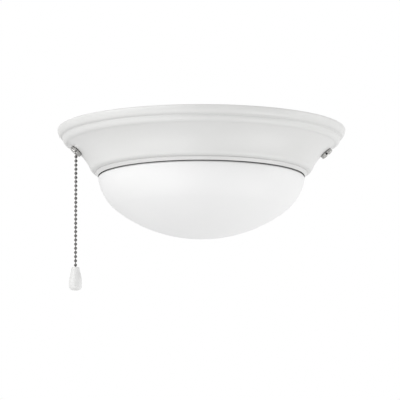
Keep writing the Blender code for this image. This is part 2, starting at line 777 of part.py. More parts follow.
def make_grommet():
    """Rubber bush round the edge of the wire hole, with a groove that holds the sheet."""
    groove = WIRE_HOLE_RADIUS - SEAT_GAP
    top = FLOOR_TOP_Z + SEAT_GAP
    under = FLOOR_UNDER_Z - SEAT_GAP
    profile = [
        (GROMMET_BORE_RADIUS, top + GROMMET_LIP_HEIGHT),
        (GROMMET_LIP_RADIUS - GROMMET_LIP_HEIGHT / 2, top + GROMMET_LIP_HEIGHT),
        (GROMMET_LIP_RADIUS, top + GROMMET_LIP_HEIGHT / 2),
        (GROMMET_LIP_RADIUS, top),
        (groove, top),
        (groove, under),
        (GROMMET_LIP_RADIUS, under),
        (GROMMET_LIP_RADIUS, under - GROMMET_LIP_HEIGHT / 2),
        (GROMMET_LIP_RADIUS - GROMMET_LIP_HEIGHT / 2, under - GROMMET_LIP_HEIGHT),
        (GROMMET_BORE_RADIUS, under - GROMMET_LIP_HEIGHT),
    ]
    painted(turned("floor_grommet", profile, SMALL_STEPS, closed=True), (0.03, 0.03, 0.03), 0.7)


def make_strap():
    """Z-shaped strap with an ear at each end, one for each socket."""
    far = SOCKET_BACK_OFFSET + STRAP_THICKNESS + STRAP_END_MARGIN
    side = SOCKET_SPACING / 2
    low = side - STRAP_ARM_WIDTH / 2
    high = side + STRAP_ARM_WIDTH / 2
    half = [
        (STRAP_HALF_WIDTH, high),
        (-far, high),
        (-far, low),
        (-STRAP_HALF_WIDTH, low),
    ]
    outline = half + [(-x, -y) for x, y in half]
    outlines = [outline, hole((0, 0), STRAP_HOLE_RADIUS)]
    for way in (-1, 1):
        outlines.append(hole((0, way * STRAP_SCREW_OFFSET), SCREW_RADIUS + SEAT_GAP, SCREW_STEPS))
    strap = flat_plate("socket_strap", outlines, STRAP_THICKNESS)
    strap.data.transform(Matrix.Translation((0, 0, STRAP_TOP_Z)))
    ear_x = -SOCKET_BACK_OFFSET - STRAP_THICKNESS / 2
    path = [(ear_x, STRAP_TOP_Z - STRAP_THICKNESS / 2), (ear_x, SOCKET_Z - EAR_BELOW_AXIS)]
    holes = []
    for number, way in enumerate((1, -1), 1):
        ear = strip(f"strap_ear_{number}", path, STRAP_ARM_WIDTH, STRAP_THICKNESS)
        turn = 0 if way == 1 else math.pi
        placed(ear, location=(0, way * side, 0), turn=turn)
        combined(strap, ear, "UNION")
        place = Vector((way * ear_x, way * side, SOCKET_Z))
        reach = STRAP_THICKNESS + CUT_OVERRUN
        holes.append((place, Vector((1, 0, 0)), SOCKET_SCREW_RADIUS + SEAT_GAP, reach))
    drilled(strap, "strap_ear_holes", holes)
    zinc(strap)


def thread_points(radius, start):
    """Crests and roots from the far end of a thread down to its start."""
    points = []
    for i in range(THREAD_TURNS - 1, -1, -1):
        foot = start + i * THREAD_PITCH
        points.append((radius - THREAD_DEPTH, foot + THREAD_PITCH * (1 - THREAD_FLANK_SHARE)))
        points.append((radius, foot + THREAD_PITCH * THREAD_FLANK_SHARE))
    return points


def make_socket(number, axis):
    """Lampholder with its screw shell, centre contact and fixing screw. Z = 0 is its back face."""
    front = SOCKET_LENGTH
    bore = SOCKET_BORE_RADIUS
    profile = [
        (bore, front),
        (SOCKET_RADIUS - SOCKET_EDGE, front),
        (SOCKET_RADIUS, front - SOCKET_EDGE),
        (SOCKET_RADIUS, SOCKET_EDGE),
        (SOCKET_RADIUS - SOCKET_EDGE, 0),
        (SOCKET_SCREW_RADIUS + SEAT_GAP, 0),
        (SOCKET_SCREW_RADIUS + SEAT_GAP, SOCKET_SCREW_DEPTH + SEAT_GAP),
        (0, SOCKET_SCREW_DEPTH + SEAT_GAP),
    ]
    floor = [(0, SOCKET_BACK_WALL), (bore, SOCKET_BACK_WALL)]
    body = placed(turned(f"socket_body_{number}", floor + profile, SMALL_STEPS), axis)
    lead_holes = []
    for way in (-1, 1):
        place = axis.matrix_world @ lead_exit(way)
        lead_holes.append((place, UP, LEAD_RADIUS + SEAT_GAP, LEAD_HOLE_DEPTH))
    drilled(body, f"socket_lead_holes_{number}", lead_holes, BEAD_STEPS)
    phenolic(body)

    tip = SOCKET_BACK_WALL + TIP_STANDOFF + SEAT_GAP
    base = SOCKET_BACK_WALL + SEAT_GAP
    crest = THREAD_RADIUS + SHELL_GAP
    inner = thread_points(crest, tip + THREAD_START)
    mouth = tip + THREAD_START + THREAD_TURNS * THREAD_PITCH
    loop = [(crest, mouth), (crest + SHELL_WALL, mouth), (crest + SHELL_WALL, base)]
    loop += [(CAP_BASE_RADIUS, base), (CAP_BASE_RADIUS, base + SHELL_WALL), (crest, base + SHELL_WALL)]
    loop += inner[::-1]
    brass(placed(turned(f"socket_thread_{number}", loop, SMALL_STEPS, closed=True), axis))

    foot = base + CONTACT_THICKNESS / 2
    high = foot + CONTACT_LIFT - CONTACT_THICKNESS
    reach = CONTACT_FOOT_LENGTH / 2
    path = [(-CONTACT_FOOT_LENGTH - reach, foot), (-reach, foot), (-reach / 2, high), (reach, high)]
    contact = strip(f"socket_contact_{number}", path, CONTACT_WIDTH, CONTACT_THICKNESS)
    brass(placed(contact, axis))

    screw = headed_pin(
        f"socket_screw_{number}",
        SOCKET_SCREW_HEAD_RADIUS,
        SOCKET_SCREW_HEAD_HEIGHT,
        SOCKET_SCREW_RADIUS,
        STRAP_THICKNESS + 2 * SEAT_GAP + SOCKET_SCREW_DEPTH - SEAT_GAP,
    )
    zinc(placed(screw, axis, (0, 0, -STRAP_THICKNESS - 2 * SEAT_GAP)))


def lead_exit(way):
    """Where a lead leaves the top of a socket, in the socket's axes, whose Y points up."""
    across = way * LEAD_SPACING
    return Vector((across, math.sqrt(SOCKET_RADIUS**2 - across**2), SOCKET_BACK_WALL / 2))


def make_bulb(number, axis):
    """Screw-in bulb on its socket's axis. Z = 0 is the face of its tip."""
    start = SOCKET_BACK_WALL + TIP_STANDOFF + SEAT_GAP
    holder = bpy.data.objects.new(f"bulb_{number}_axis", None)
    parts.objects.link(holder)
    placed(holder, axis, (0, 0, start))

    tip = [(0, TIP_HEIGHT), (TIP_BASE_RADIUS, TIP_HEIGHT), (TIP_RADIUS, 0), (0, 0)]
    brass(placed(turned(f"bulb_{number}_tip", tip, SMALL_STEPS), holder))

    cap_top = CAP_LENGTH
    cap = [(0, cap_top), (THREAD_RADIUS - THREAD_DEPTH, cap_top)]
    cap += thread_points(THREAD_RADIUS, THREAD_START)
    cap += [(CAP_BASE_RADIUS, TIP_HEIGHT + SEAT_GAP), (0, TIP_HEIGHT + SEAT_GAP)]
    zinc(placed(turned(f"bulb_{number}_cap", cap, SMALL_STEPS), holder))

    foot = cap_top + SEAT_GAP
    neck = foot + HOUSING_NECK_LENGTH
    top = foot + HOUSING_LENGTH
    housing = [
        (0, top),
        (HOUSING_RADIUS, top),
        ((HOUSING_RADIUS + HOUSING_NECK_RADIUS) / 2, (top + neck) / 2),
        (HOUSING_NECK_RADIUS, neck),
        (HOUSING_NECK_RADIUS, foot),
        (0, foot),
    ]
    painted(placed(turned(f"bulb_{number}_housing", housing, SMALL_STEPS), holder), (0.85, 0.85, 0.85), 0.4)

    base = top + SEAT_GAP
    waist = base + GLOBE_WAIST_LENGTH

    def dome(wall):
        points = arc((0, waist), (GLOBE_RADIUS - wall, GLOBE_DOME_LENGTH - wall), 90, 0, 3)
        points[0] = (0, points[0][1])
        return points + [(GLOBE_BASE_RADIUS - wall, base)]

    globe = dome(0) + dome(GLOBE_WALL)[::-1]
    painted(placed(turned(f"bulb_{number}_globe", globe, SMALL_STEPS), holder), (0.92, 0.92, 0.90), 0.3)


def ring_nut(name, axis):
    """Polished ring nut on a neck, outside the flare."""
    bore = NECK_RADIUS + SEAT_GAP
    base = RING_NUT_STANDOFF
    loop = [(bore, NUT_FACE)]
    loop += arc((RING_NUT_RADIUS - RING_NUT_ROUND, NUT_FACE - RING_NUT_ROUND), RING_NUT_ROUND, 90, 0, 1)
    loop += arc((RING_NUT_RADIUS - RING_NUT_ROUND, base + RING_NUT_ROUND), RING_NUT_ROUND, 0, -90, 1)
    loop.append((bore, base))
    nickel(placed(turned(name, loop, SMALL_STEPS, closed=True), axis))


def lock_nut(name, axis):
    """Hexagonal nut on a neck, inside the flare."""
    corner = LOCK_NUT_WIDTH / math.sqrt(3)
    outlines = [circle((0, 0), corner, 6), hole((0, 0), NECK_RADIUS + SEAT_GAP)]
    nut = flat_plate(name, outlines, LOCK_NUT_THICKNESS)
    zinc(placed(nut, axis, (0, 0, -SHEET - LOCK_NUT_STANDOFF)))


def bell_mouth():
    """The flared end of a neck's bore, from its mouth inwards."""
    flare = NECK_MOUTH_RADIUS - NECK_BORE_RADIUS
    shares = ((0, 0), (0.3, 0.36), (0.6, 0.7), (1, 1))
    return [(NECK_MOUTH_RADIUS - flare * into, NECK_END - NECK_MOUTH_DEPTH * down) for down, into in shares]


def make_switch(axis):
    """Pull-chain switch behind the flare: body, cover, neck, plunger and return spring."""
    front = -SWITCH_FRONT
    inner_front = front - SWITCH_WALL
    back = front - SWITCH_LENGTH
    cup = [
        (NECK_RADIUS + SEAT_GAP, front),
        (SWITCH_RADIUS - SOCKET_EDGE, front),
        (SWITCH_RADIUS, front - SOCKET_EDGE),
        (SWITCH_RADIUS, back),
        (SWITCH_RADIUS - SWITCH_WALL, back),
        (SWITCH_RADIUS - SWITCH_WALL, inner_front),
        (NECK_RADIUS + SEAT_GAP, inner_front),
    ]
    phenolic(placed(turned("switch_body", cup, SMALL_STEPS, closed=True), axis))

    cover_face = back - SEAT_GAP
    cover_back = cover_face - SWITCH_COVER_THICKNESS
    cover = [
        (0, cover_face),
        (SWITCH_RADIUS, cover_face),
        (SWITCH_RADIUS, cover_back + SOCKET_EDGE),
        (SWITCH_RADIUS - SOCKET_EDGE, cover_back),
        (0, cover_back),
    ]
    lid = placed(turned("switch_cover", cover, SMALL_STEPS), axis)
    holes = []
    for way in (-1, 1):
        middle = (cover_face + cover_back) / 2
        place = axis.matrix_world @ Vector((way * LEAD_SPACING, 0, middle))
        reach = SWITCH_COVER_THICKNESS + CUT_OVERRUN
        holes.append((place, neck_seat(-1)[1], LEAD_RADIUS + SEAT_GAP, reach))
    drilled(lid, "switch_cover_holes", holes, BEAD_STEPS)
    phenolic(lid)

    flange_face = inner_front - SEAT_GAP
    flange_back = flange_face - NECK_FLANGE_THICKNESS
    neck = bell_mouth()[::-1] + [
        (NECK_RADIUS, NECK_END),
        (NECK_RADIUS, flange_face),
        (NECK_FLANGE_RADIUS, flange_face),
        (NECK_FLANGE_RADIUS, flange_back),
        (NECK_BORE_RADIUS, flange_back),
    ]
    nickel(placed(turned("switch_neck", neck, SMALL_STEPS, closed=True), axis))

    disc_back = back + PLUNGER_BACK_GAP
    disc_front = disc_back + PLUNGER_THICKNESS
    knot = bend_height() - BEAD_PITCH + FIRST_BEAD_DROP
    top = knot + BEAD_RADIUS + CHAIN_ROD_RADIUS
    profile = [(0, top), (CHAIN_ROD_RADIUS, top)]
    for i in range(PLUNGER_BEADS):
        profile += bead_points(knot - i * BEAD_PITCH)
    profile += [
        (PLUNGER_ROD_RADIUS, knot - PLUNGER_BEADS * BEAD_PITCH + BEAD_RADIUS),
        (PLUNGER_ROD_RADIUS, disc_front),
        (PLUNGER_RADIUS, disc_front),
        (PLUNGER_RADIUS, disc_back),
        (0, disc_back),
    ]
    nickel(placed(turned("switch_plunger", profile, SCREW_STEPS), axis))

    low = disc_front + SEAT_GAP + RETURN_SPRING_WIRE
    high = flange_back - SEAT_GAP - RETURN_SPRING_WIRE
    count = RETURN_SPRING_TURNS * RETURN_SPRING_TURN_POINTS
    points = []
    for i in range(count + 1):
        angle = math.tau * i / RETURN_SPRING_TURN_POINTS
        points.append(around(RETURN_SPRING_RADIUS, angle, low + (high - low) * i / count))
    zinc(placed(wire("switch_spring", points, RETURN_SPRING_WIRE, 0), axis))


def make_guide(axis):
    """Hollow guide for the fan's own chain, with a bell mouth and a square inner end."""
    tail = -LOCK_NUT_BACK - GUIDE_TAIL
    loop = bell_mouth()[::-1] + [(NECK_RADIUS, NECK_END), (NECK_RADIUS, tail), (NECK_BORE_RADIUS, tail)]
    nickel(placed(turned("chain_guide", loop, SMALL_STEPS, closed=True), axis))


def bead_points(height, first=False, last=False):
    """One bead of a chain turned about Z, from its top to its bottom."""
    edge = math.degrees(math.asin(CHAIN_ROD_RADIUS / BEAD_RADIUS))
    top = 90 if first else 90 - edge
    bottom = -90 if last else edge - 90
    points = arc((0, height), BEAD_RADIUS, top, bottom, 3)
    if first:
        points[0] = (0, points[0][1])
    if last:
        points[-1] = (0, points[-1][1])
    return points


def bend_height():
    """How far outside the flare's skin, along the neck, the chain turns to hang down."""
    return NECK_END - (chain_radius_short() / NECK_COSINE)


def chain_radius_short():
    """How much nearer the lamp's axis the hanging chain is than the middle of the neck's mouth."""
    return NECK_MOUTH_RADIUS * NECK_SINE - BEAD_RADIUS - CHAIN_LIP_GAP


def make_chain():
    """Ball chain over the mouth's lip, in lengths that hinge at their first beads, and its pull."""
    place, direction = neck_seat(-1)
    bend = place + direction * bend_height()
    above = FIRST_BEAD_DROP
    parent = None
    place = Vector((bend.x, 0, bend.z - above))
    for number, count in enumerate((TOP_BEADS,) + LENGTH_BEADS):
        name = "chain_top" if number == 0 else f"chain_length_{number}"
        captive = number == len(LENGTH_BEADS)
        profile = []
        for i in range(count + captive):
            ends = captive and i == count
            profile += bead_points(-i * BEAD_PITCH, first=i == 0, last=ends)
        if not captive:
            end = -count * BEAD_PITCH + BEAD_RADIUS + SEAT_GAP
            profile += [(CHAIN_ROD_RADIUS, end), (0, end)]
        piece = turned(name, profile, BEAD_STEPS)
        placed(piece, parent, place)
        painted(piece, (0.30, 0.30, 0.31), 0.3, 1.0)
        parent = piece
        place = Vector((0, 0, -count * BEAD_PITCH))
    make_pull(parent, place)


def make_pull(parent, place):
    """Moulded pull that hangs on the chain's last bead, in a pocket. Z = 0 is that bead's centre."""
    top = BEAD_PITCH - BEAD_RADIUS - PULL_BEAD_GAP
    pocket = BEAD_RADIUS + PULL_POCKET_GAP
    foot = top - PULL_HEIGHT
    widest = top - PULL_WIDEST_DROP
    shoulder = top - PULL_TOP_ROUND
    flank = Vector((PULL_RADIUS, widest)) - Vector((PULL_TOP_RADIUS, shoulder))
    outer = [(PULL_HOLE_RADIUS, top)]
    outer += arc((PULL_TOP_RADIUS - PULL_TOP_ROUND, shoulder), PULL_TOP_ROUND, 90, 0, 1)
    for down, out in PULL_FLANK_SHARES:
        outer.append((PULL_TOP_RADIUS + flank.x * out, shoulder + flank.y * down))
    outer.append((PULL_RADIUS, widest))
    foot_size = (PULL_FOOT_RADIUS - PULL_FOOT_FLAT, PULL_FOOT_ROUND)
    outer += arc((PULL_FOOT_FLAT, foot + PULL_FOOT_ROUND), foot_size, 0, -90, 3)
    outer.append((0, foot))
    inner = [(0, -pocket)]
    inner += arc((0, 0), pocket, PULL_POCKET_TURN, 0, 2)
    inner += [(pocket, pocket / 2), (PULL_HOLE_RADIUS, pocket)]
    pull = placed(turned("pull_fob", inner + outer, SMALL_STEPS), parent, place)
    painted(pull, (0.84, 0.84, 0.83), 0.35)


def smooth_route(stops, per_span=2):
    """A smooth curve through stops."""
    points = []
    ends = [2 * stops[0] - stops[1]] + stops + [2 * stops[-1] - stops[-2]]
    for i in range(1, len(ends) - 2):
        a, b, c, d = ends[i - 1 : i + 3]
        for j in range(per_span):
            t = j / per_span
            cube = 3 * b - a - 3 * c + d
            square = 2 * a - 5 * b + 4 * c - d
            points.append((2 * b + (c - a) * t + square * t**2 + cube * t**3) / 2)
    points.append(stops[-1])
    return points


def connector_seats():
    """Each connector's mouth, lying on the pan's floor, and the way that it faces."""
    height = FLOOR_TOP_Z + SEAT_GAP + CONNECTOR_RADIUS
    return {
        "hot": (Vector((0, CONNECTOR_REACH, height)), Vector((0, -1, 0))),
        "neutral": (Vector((0, -CONNECTOR_REACH, height)), Vector((0, 1, 0))),
        "supply": (Vector((-CONNECTOR_REACH, -SUPPLY_CONNECTOR_OFFSET, height)), Vector((-1, 0, 0))),
    }


LEAD_COLOURS = {"hot": (0.02, 0.02, 0.02), "neutral": (0.80, 0.80, 0.78), "supply": (0.02, 0.02, 0.02)}


def make_connectors():
    """Twist-on connectors that splice the leads."""
    for pole, (mouth, facing) in connector_seats().items():
        axis = seat(f"connector_{pole}_axis", mouth, facing)
        loop = [
            (CONNECTOR_BORE_RADIUS, 0),
            (CONNECTOR_RADIUS, 0),
            (CONNECTOR_RADIUS, -CONNECTOR_LENGTH / 3),
            (CONNECTOR_TIP_RADIUS, -CONNECTOR_LENGTH),
            (0, -CONNECTOR_LENGTH),
        ]
        inside = [(0, -CONNECTOR_BORE_DEPTH), (CONNECTOR_BORE_RADIUS, -CONNECTOR_BORE_DEPTH)]
        cap = turned(f"connector_{pole}", inside + loop, SMALL_STEPS)
        painted(placed(cap, axis), (0.75, 0.16, 0.05), 0.4)


def bundle_place(pole, angle):
    """Stops for a lead that enters a connector, at an angle round its bore from straight up."""
    mouth, facing = connector_seats()[pole]
    across = Matrix.Rotation(angle, 3, facing) @ UP * LEAD_BUNDLE_RADIUS
    return [mouth + across + facing * LEAD_TUCK, mouth + across, mouth + across - facing * LEAD_TUCK]


def make_socket_leads(sockets):
    """Two leads from each socket, up through the grommet to a connector."""
    under = STRAP_TOP_Z - STRAP_THICKNESS - LEAD_UNDER_DROP
    over = FLOOR_TOP_Z + SEAT_GAP + CONNECTOR_RADIUS
    for number, axis in enumerate(sockets, 1):
        side = -1 if number == 1 else 1
        for way in (-1, 1):
            north = way * side < 0
            pole = "hot" if north else "neutral"
            out = axis.matrix_world @ lead_exit(way)
            spot = Vector((side, 1 if north else -1, 0)).normalized() * LEAD_INLET_RADIUS
            stops = [
                out + UP * SEAT_GAP,
                out + UP * LEAD_RISE,
                Vector((out.x - side * LEAD_BEND, out.y, under)),
                Vector((spot.x + side * LEAD_BEND, spot.y, under)),
                spot + UP * FLOOR_UNDER_Z,
                spot + UP * (over - LEAD_RISE / 2),
            ]
            turn = BUNDLE_TURN * (-side if north else side)
            route = [out - UP * (LEAD_HOLE_DEPTH / 2)] + smooth_route(stops + bundle_place(pole, turn))
            lead = wire(f"lead_{pole}_{number}", route, LEAD_RADIUS, 1)
            painted(lead, LEAD_COLOURS[pole], 0.5)


def make_switch_leads(axis):
    """Two leads from the switch's cover, over the collar to their connectors."""
    back = -SWITCH_FRONT - SWITCH_LENGTH - SEAT_GAP - SWITCH_COVER_THICKNESS / 2
    level = FLOOR_TOP_Z + SEAT_GAP + CONNECTOR_RADIUS + LEAD_BUNDLE_RADIUS
    for way, pole in ((-1, "hot"), (1, "supply")):
        start = axis.matrix_world @ Vector((way * LEAD_SPACING, 0, back))
        clear = back - SWITCH_COVER_THICKNESS
        along = [Vector((way * LEAD_SPACING, 0, height)) for height in (clear, clear - LEAD_RISE)]
        stops = [axis.matrix_world @ spot for spot in along]
        stops.append(Vector((SWITCH_LEAD_OVER_INSET - COLLAR_RADIUS, start.y, start.z)))
        stops.append(Vector((SWITCH_LEAD_DOWN_INSET - COLLAR_RADIUS, start.y, level + LEAD_RISE)))
        if pole == "hot":
            stops.append(Vector((-CONNECTOR_REACH, CONNECTOR_REACH / 3, level + LEAD_RISE)))
            stops.append(Vector((-CONNECTOR_REACH / 3, CONNECTOR_REACH / 2, level + LEAD_RISE / 2)))
        route = [start] + smooth_route(stops + bundle_place(pole, 0))
        lead = wire(f"lead_switch_{pole}", route, LEAD_RADIUS, 1)
        painted(lead, LEAD_COLOURS[pole], 0.5)


def main():
    clear_scene()
    make_pan()
    make_glass()
    make_springs()
    make_plate()
    make_screws()
    make_grommet()
    make_strap()
    sockets = []
    for number, way in enumerate((1, -1), 1):
        back = Vector((way * (SEAT_GAP - SOCKET_BACK_OFFSET), way * SOCKET_SPACING / 2, SOCKET_Z))
        axis = seat(f"socket_{number}_axis", back, Vector((way, 0, 0)))
        sockets.append(axis)
    switch_axis = seat("switch_axis", *neck_seat(-1))
    guide_axis = seat("guide_axis", *neck_seat(1))
    bpy.context.view_layer.update()
    for number, axis in enumerate(sockets, 1):
        make_socket(number, axis)
        make_bulb(number, axis)
    ring_nut("switch_ring_nut", switch_axis)
    lock_nut("switch_lock_nut", switch_axis)
    make_switch(switch_axis)
    ring_nut("guide_ring_nut", guide_axis)
    lock_nut("guide_lock_nut", guide_axis)
    make_guide(guide_axis)
    make_chain()
    make_connectors()
    make_socket_leads(sockets)
    make_switch_leads(switch_axis)
    bpy.context.view_layer.update()


main()
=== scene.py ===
import math

import bmesh
import bpy
from mathutils import Matrix, Vector


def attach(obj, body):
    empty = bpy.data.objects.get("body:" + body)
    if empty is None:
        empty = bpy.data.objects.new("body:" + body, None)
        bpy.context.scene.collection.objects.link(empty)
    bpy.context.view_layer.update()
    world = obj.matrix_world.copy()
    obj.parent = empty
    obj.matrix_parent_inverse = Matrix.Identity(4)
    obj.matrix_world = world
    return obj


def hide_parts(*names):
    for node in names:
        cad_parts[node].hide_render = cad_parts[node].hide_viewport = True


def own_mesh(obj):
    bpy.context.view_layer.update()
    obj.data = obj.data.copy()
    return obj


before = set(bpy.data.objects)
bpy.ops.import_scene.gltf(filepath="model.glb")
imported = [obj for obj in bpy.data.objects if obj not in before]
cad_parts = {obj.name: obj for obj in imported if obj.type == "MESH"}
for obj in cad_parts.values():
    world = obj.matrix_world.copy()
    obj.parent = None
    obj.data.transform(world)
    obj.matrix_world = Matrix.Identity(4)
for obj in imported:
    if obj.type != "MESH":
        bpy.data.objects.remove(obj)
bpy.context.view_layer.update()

up = Vector((0, 0, 1))
gap = 0.0003  # between pieces that touch
print("frame loaded:", len(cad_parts), "nodes")


def addNode(tree, kind, inputs=None, **settings):
    made = tree.nodes.new(kind)
    for key, value in settings.items():
        setattr(made, key, value)
    for key, value in (inputs or {}).items():
        if isinstance(value, bpy.types.NodeSocket):
            tree.links.new(value, made.inputs[key])
        else:
            made.inputs[key].default_value = value
    return made


def maths(tree, operation, *values, clamp=False):
    made = addNode(tree, "ShaderNodeMath", dict(enumerate(values)), operation=operation, use_clamp=clamp)
    return made.outputs[0]


def ranged(tree, value, low, high):  # a noise value spread between low and high
    return addNode(tree, "ShaderNodeMapRange", {0: value, 1: 0.3, 2: 0.7, 3: low, 4: high}).outputs[0]


# Two close colours in patches, an uneven roughness and a fine bump, on Object coordinates in metres, and with "crease"
# a painted shade that darkens the colour in creases found by ambient occlusion.
# "turned" adds lathe marks that run round a spun piece, from the radius and height stored on its points.
def finish(name, look):
    made = bpy.data.materials.new(name)
    made.use_nodes = True
    tree = made.node_tree
    shader = tree.nodes["Principled BSDF"]
    place = addNode(tree, "ShaderNodeTexCoord").outputs["Object"]
    if "stretch" in look:
        place = addNode(tree, "ShaderNodeMapping", {"Vector": place, "Scale": look["stretch"]}).outputs[0]

    def noise(size, detail=3.0, vector=place):
        values = {"Vector": vector, "Scale": 1 / size, "Detail": detail, "Roughness": 0.55}
        return addNode(tree, "ShaderNodeTexNoise", values).outputs["Fac"]

    patches = ranged(tree, noise(look["patch"]), 0.0, 1.0)
    tint = addNode(
        tree,
        "ShaderNodeMix",
        {0: patches, 6: (*look["colour"], 1.0), 7: (*look["tint"], 1.0)},
        data_type="RGBA",
    ).outputs[2]
    if "crease" in look:  # painted shade: the colour is darkened where ambient occlusion finds another surface close by
        reach, paintedShadeLevel = look["crease"]
        occlusionForShade = addNode(tree, "ShaderNodeAmbientOcclusion", {"Distance": reach}, samples=8).outputs["AO"]
        paintedShadeLevel = addNode(tree, "ShaderNodeMapRange", {0: occlusionForShade, 1: 0.5, 2: 1.0, 3: paintedShadeLevel, 4: 1.0}).outputs[0]
        tint = addNode(
            tree, "ShaderNodeMix", {0: 1.0, 6: tint, 7: paintedShadeLevel}, data_type="RGBA", blend_type="MULTIPLY"
        ).outputs[2]
    tree.links.new(tint, shader.inputs["Base Color"])
    tree.links.new(ranged(tree, noise(look["smudge"]), *look["roughness"]), shader.inputs["Roughness"])
    shader.inputs["Metallic"].default_value = look.get("metallic", 0.0)
    for socket, value in look.get("shader", {}).items():
        shader.inputs[socket].default_value = value
    grain = addNode(
        tree,
        "ShaderNodeBump",
        {"Strength": look["bump"], "Distance": look["grain"] * 0.1, "Height": noise(look["grain"], 2.0)},
    ).outputs[0]
    if "turned" in look:
        marks = addNode(tree, "ShaderNodeAttribute", attribute_name="turnedPlace").outputs["Vector"]
        grain = addNode(
            tree,
            "ShaderNodeBump",
            {
                "Strength": look["turned"],
                "Distance": 0.00002,
                "Height": noise(look.get("mark", 0.0003), 2.0, marks),
                "Normal": grain,
            },
        ).outputs[0]
    tree.links.new(grain, shader.inputs["Normal"])
    return made


looks = {
    "whiteEnamel": {
        "colour": (0.735, 0.735, 0.727), "tint": (0.72, 0.72, 0.71), "patch": 0.06, "smudge": 0.03,
        # crease: painted shade, the colour darkened towards the given level where another surface lies within the given
        # reach
        "roughness": (0.34, 0.41), "grain": 0.0012, "bump": 0.04, "crease": (0.02, 0.68),
    },
    "opalGlass": {
        "colour": (0.872, 0.872, 0.87), "tint": (0.86, 0.86, 0.86), "patch": 0.05, "smudge": 0.04,
        # crease: painted shade on the glass where another surface lies within the reach, as under the pan's lip
        "roughness": (0.44, 0.50), "grain": 0.006, "bump": 0.02, "crease": (0.03, 0.5),
    },
    "polishedNickel": {
        "colour": (0.56, 0.555, 0.545), "tint": (0.48, 0.475, 0.465), "patch": 0.004, "smudge": 0.003,
        "roughness": (0.08, 0.16), "grain": 0.0006, "bump": 0.05, "metallic": 1.0, "turned": 0.35,
    },
    "chainNickel": {
        "colour": (0.17, 0.167, 0.163), "tint": (0.12, 0.118, 0.115), "patch": 0.003, "smudge": 0.002,
        "roughness": (0.16, 0.26), "grain": 0.0004, "bump": 0.10, "metallic": 1.0,
    },
    "pullPlastic": {
        "colour": (0.76, 0.76, 0.755), "tint": (0.74, 0.74, 0.73), "patch": 0.008, "smudge": 0.005,
        "roughness": (0.32, 0.40), "grain": 0.003, "bump": 0.01,
    },
    "zincSteel": {
        "colour": (0.66, 0.67, 0.68), "tint": (0.56, 0.57, 0.56), "patch": 0.012, "smudge": 0.004,
        "roughness": (0.28, 0.45), "grain": 0.0007, "bump": 0.15, "metallic": 1.0,
    },
    "springSteel": {
        "colour": (0.58, 0.58, 0.59), "tint": (0.48, 0.48, 0.50), "patch": 0.006, "smudge": 0.002,
        "roughness": (0.28, 0.36), "grain": 0.0005, "bump": 0.12, "metallic": 1.0,
    },
    "phenolic": {
        "colour": (0.055, 0.048, 0.042), "tint": (0.035, 0.032, 0.03), "patch": 0.003, "smudge": 0.006,
        "roughness": (0.38, 0.52), "grain": 0.0006, "bump": 0.15,
    },
    "brass": {
        "colour": (0.80, 0.62, 0.30), "tint": (0.68, 0.50, 0.24), "patch": 0.005, "smudge": 0.003,
        "roughness": (0.28, 0.36), "grain": 0.0006, "bump": 0.08, "metallic": 1.0, "turned": 0.25,
    },
    "capMetal": {
        "colour": (0.66, 0.66, 0.67), "tint": (0.57, 0.57, 0.58), "patch": 0.006, "smudge": 0.003,
        "roughness": (0.28, 0.38), "grain": 0.0006, "bump": 0.08, "metallic": 1.0, "turned": 0.25,
    },
    "bulbHousing": {
        "colour": (0.86, 0.86, 0.855), "tint": (0.82, 0.82, 0.81), "patch": 0.01, "smudge": 0.006,
        "roughness": (0.36, 0.46), "grain": 0.0007, "bump": 0.12,
    },
    "bulbDiffuser": {
        "colour": (0.92, 0.92, 0.90), "tint": (0.89, 0.89, 0.87), "patch": 0.012, "smudge": 0.008,
        "roughness": (0.40, 0.50), "grain": 0.0008, "bump": 0.04,
    },
    "bushRubber": {
        "colour": (0.030, 0.030, 0.031), "tint": (0.05, 0.05, 0.05), "patch": 0.002, "smudge": 0.003,
        "roughness": (0.62, 0.80), "grain": 0.0005, "bump": 0.25,
    },
    "connectorPlastic": {
        "colour": (0.76, 0.17, 0.045), "tint": (0.68, 0.13, 0.035), "patch": 0.004, "smudge": 0.004,
        "roughness": (0.32, 0.44), "grain": 0.0006, "bump": 0.10,
    },
    "blackInsulation": {
        "colour": (0.020, 0.020, 0.021), "tint": (0.032, 0.032, 0.033), "patch": 0.004, "smudge": 0.004,
        "roughness": (0.38, 0.52), "grain": 0.0009, "bump": 0.15,
    },
    "whiteInsulation": {
        "colour": (0.80, 0.80, 0.78), "tint": (0.74, 0.74, 0.71), "patch": 0.004, "smudge": 0.004,
        "roughness": (0.38, 0.50), "grain": 0.0009, "bump": 0.12,
    },
}
finishes = {name: finish(name, look) for name, look in looks.items()}
print("finishes made:", len(finishes))


# A Geometry Nodes tree with named inputs, each (label, kind), and its group input's sockets by name.
def newTree(name, sockets):
    tree = bpy.data.node_groups.new(name, "GeometryNodeTree")
    tree.interface.new_socket("Geometry", in_out="INPUT", socket_type="NodeSocketGeometry")
    for label, kind in sockets + [("Material", "Material")]:
        tree.interface.new_socket(label, in_out="INPUT", socket_type="NodeSocket" + kind)
    tree.interface.new_socket("Geometry", in_out="OUTPUT", socket_type="NodeSocketGeometry")
    return tree, tree.nodes.new("NodeGroupInput").outputs


def closeTree(tree, shape, given):
    real = addNode(tree, "GeometryNodeRealizeInstances", {0: shape}).outputs[0]
    painted = addNode(tree, "GeometryNodeSetMaterial", {0: real, "Material": given["Material"]})
    tree.links.new(painted.outputs[0], tree.nodes.new("NodeGroupOutput").inputs[0])
    return tree


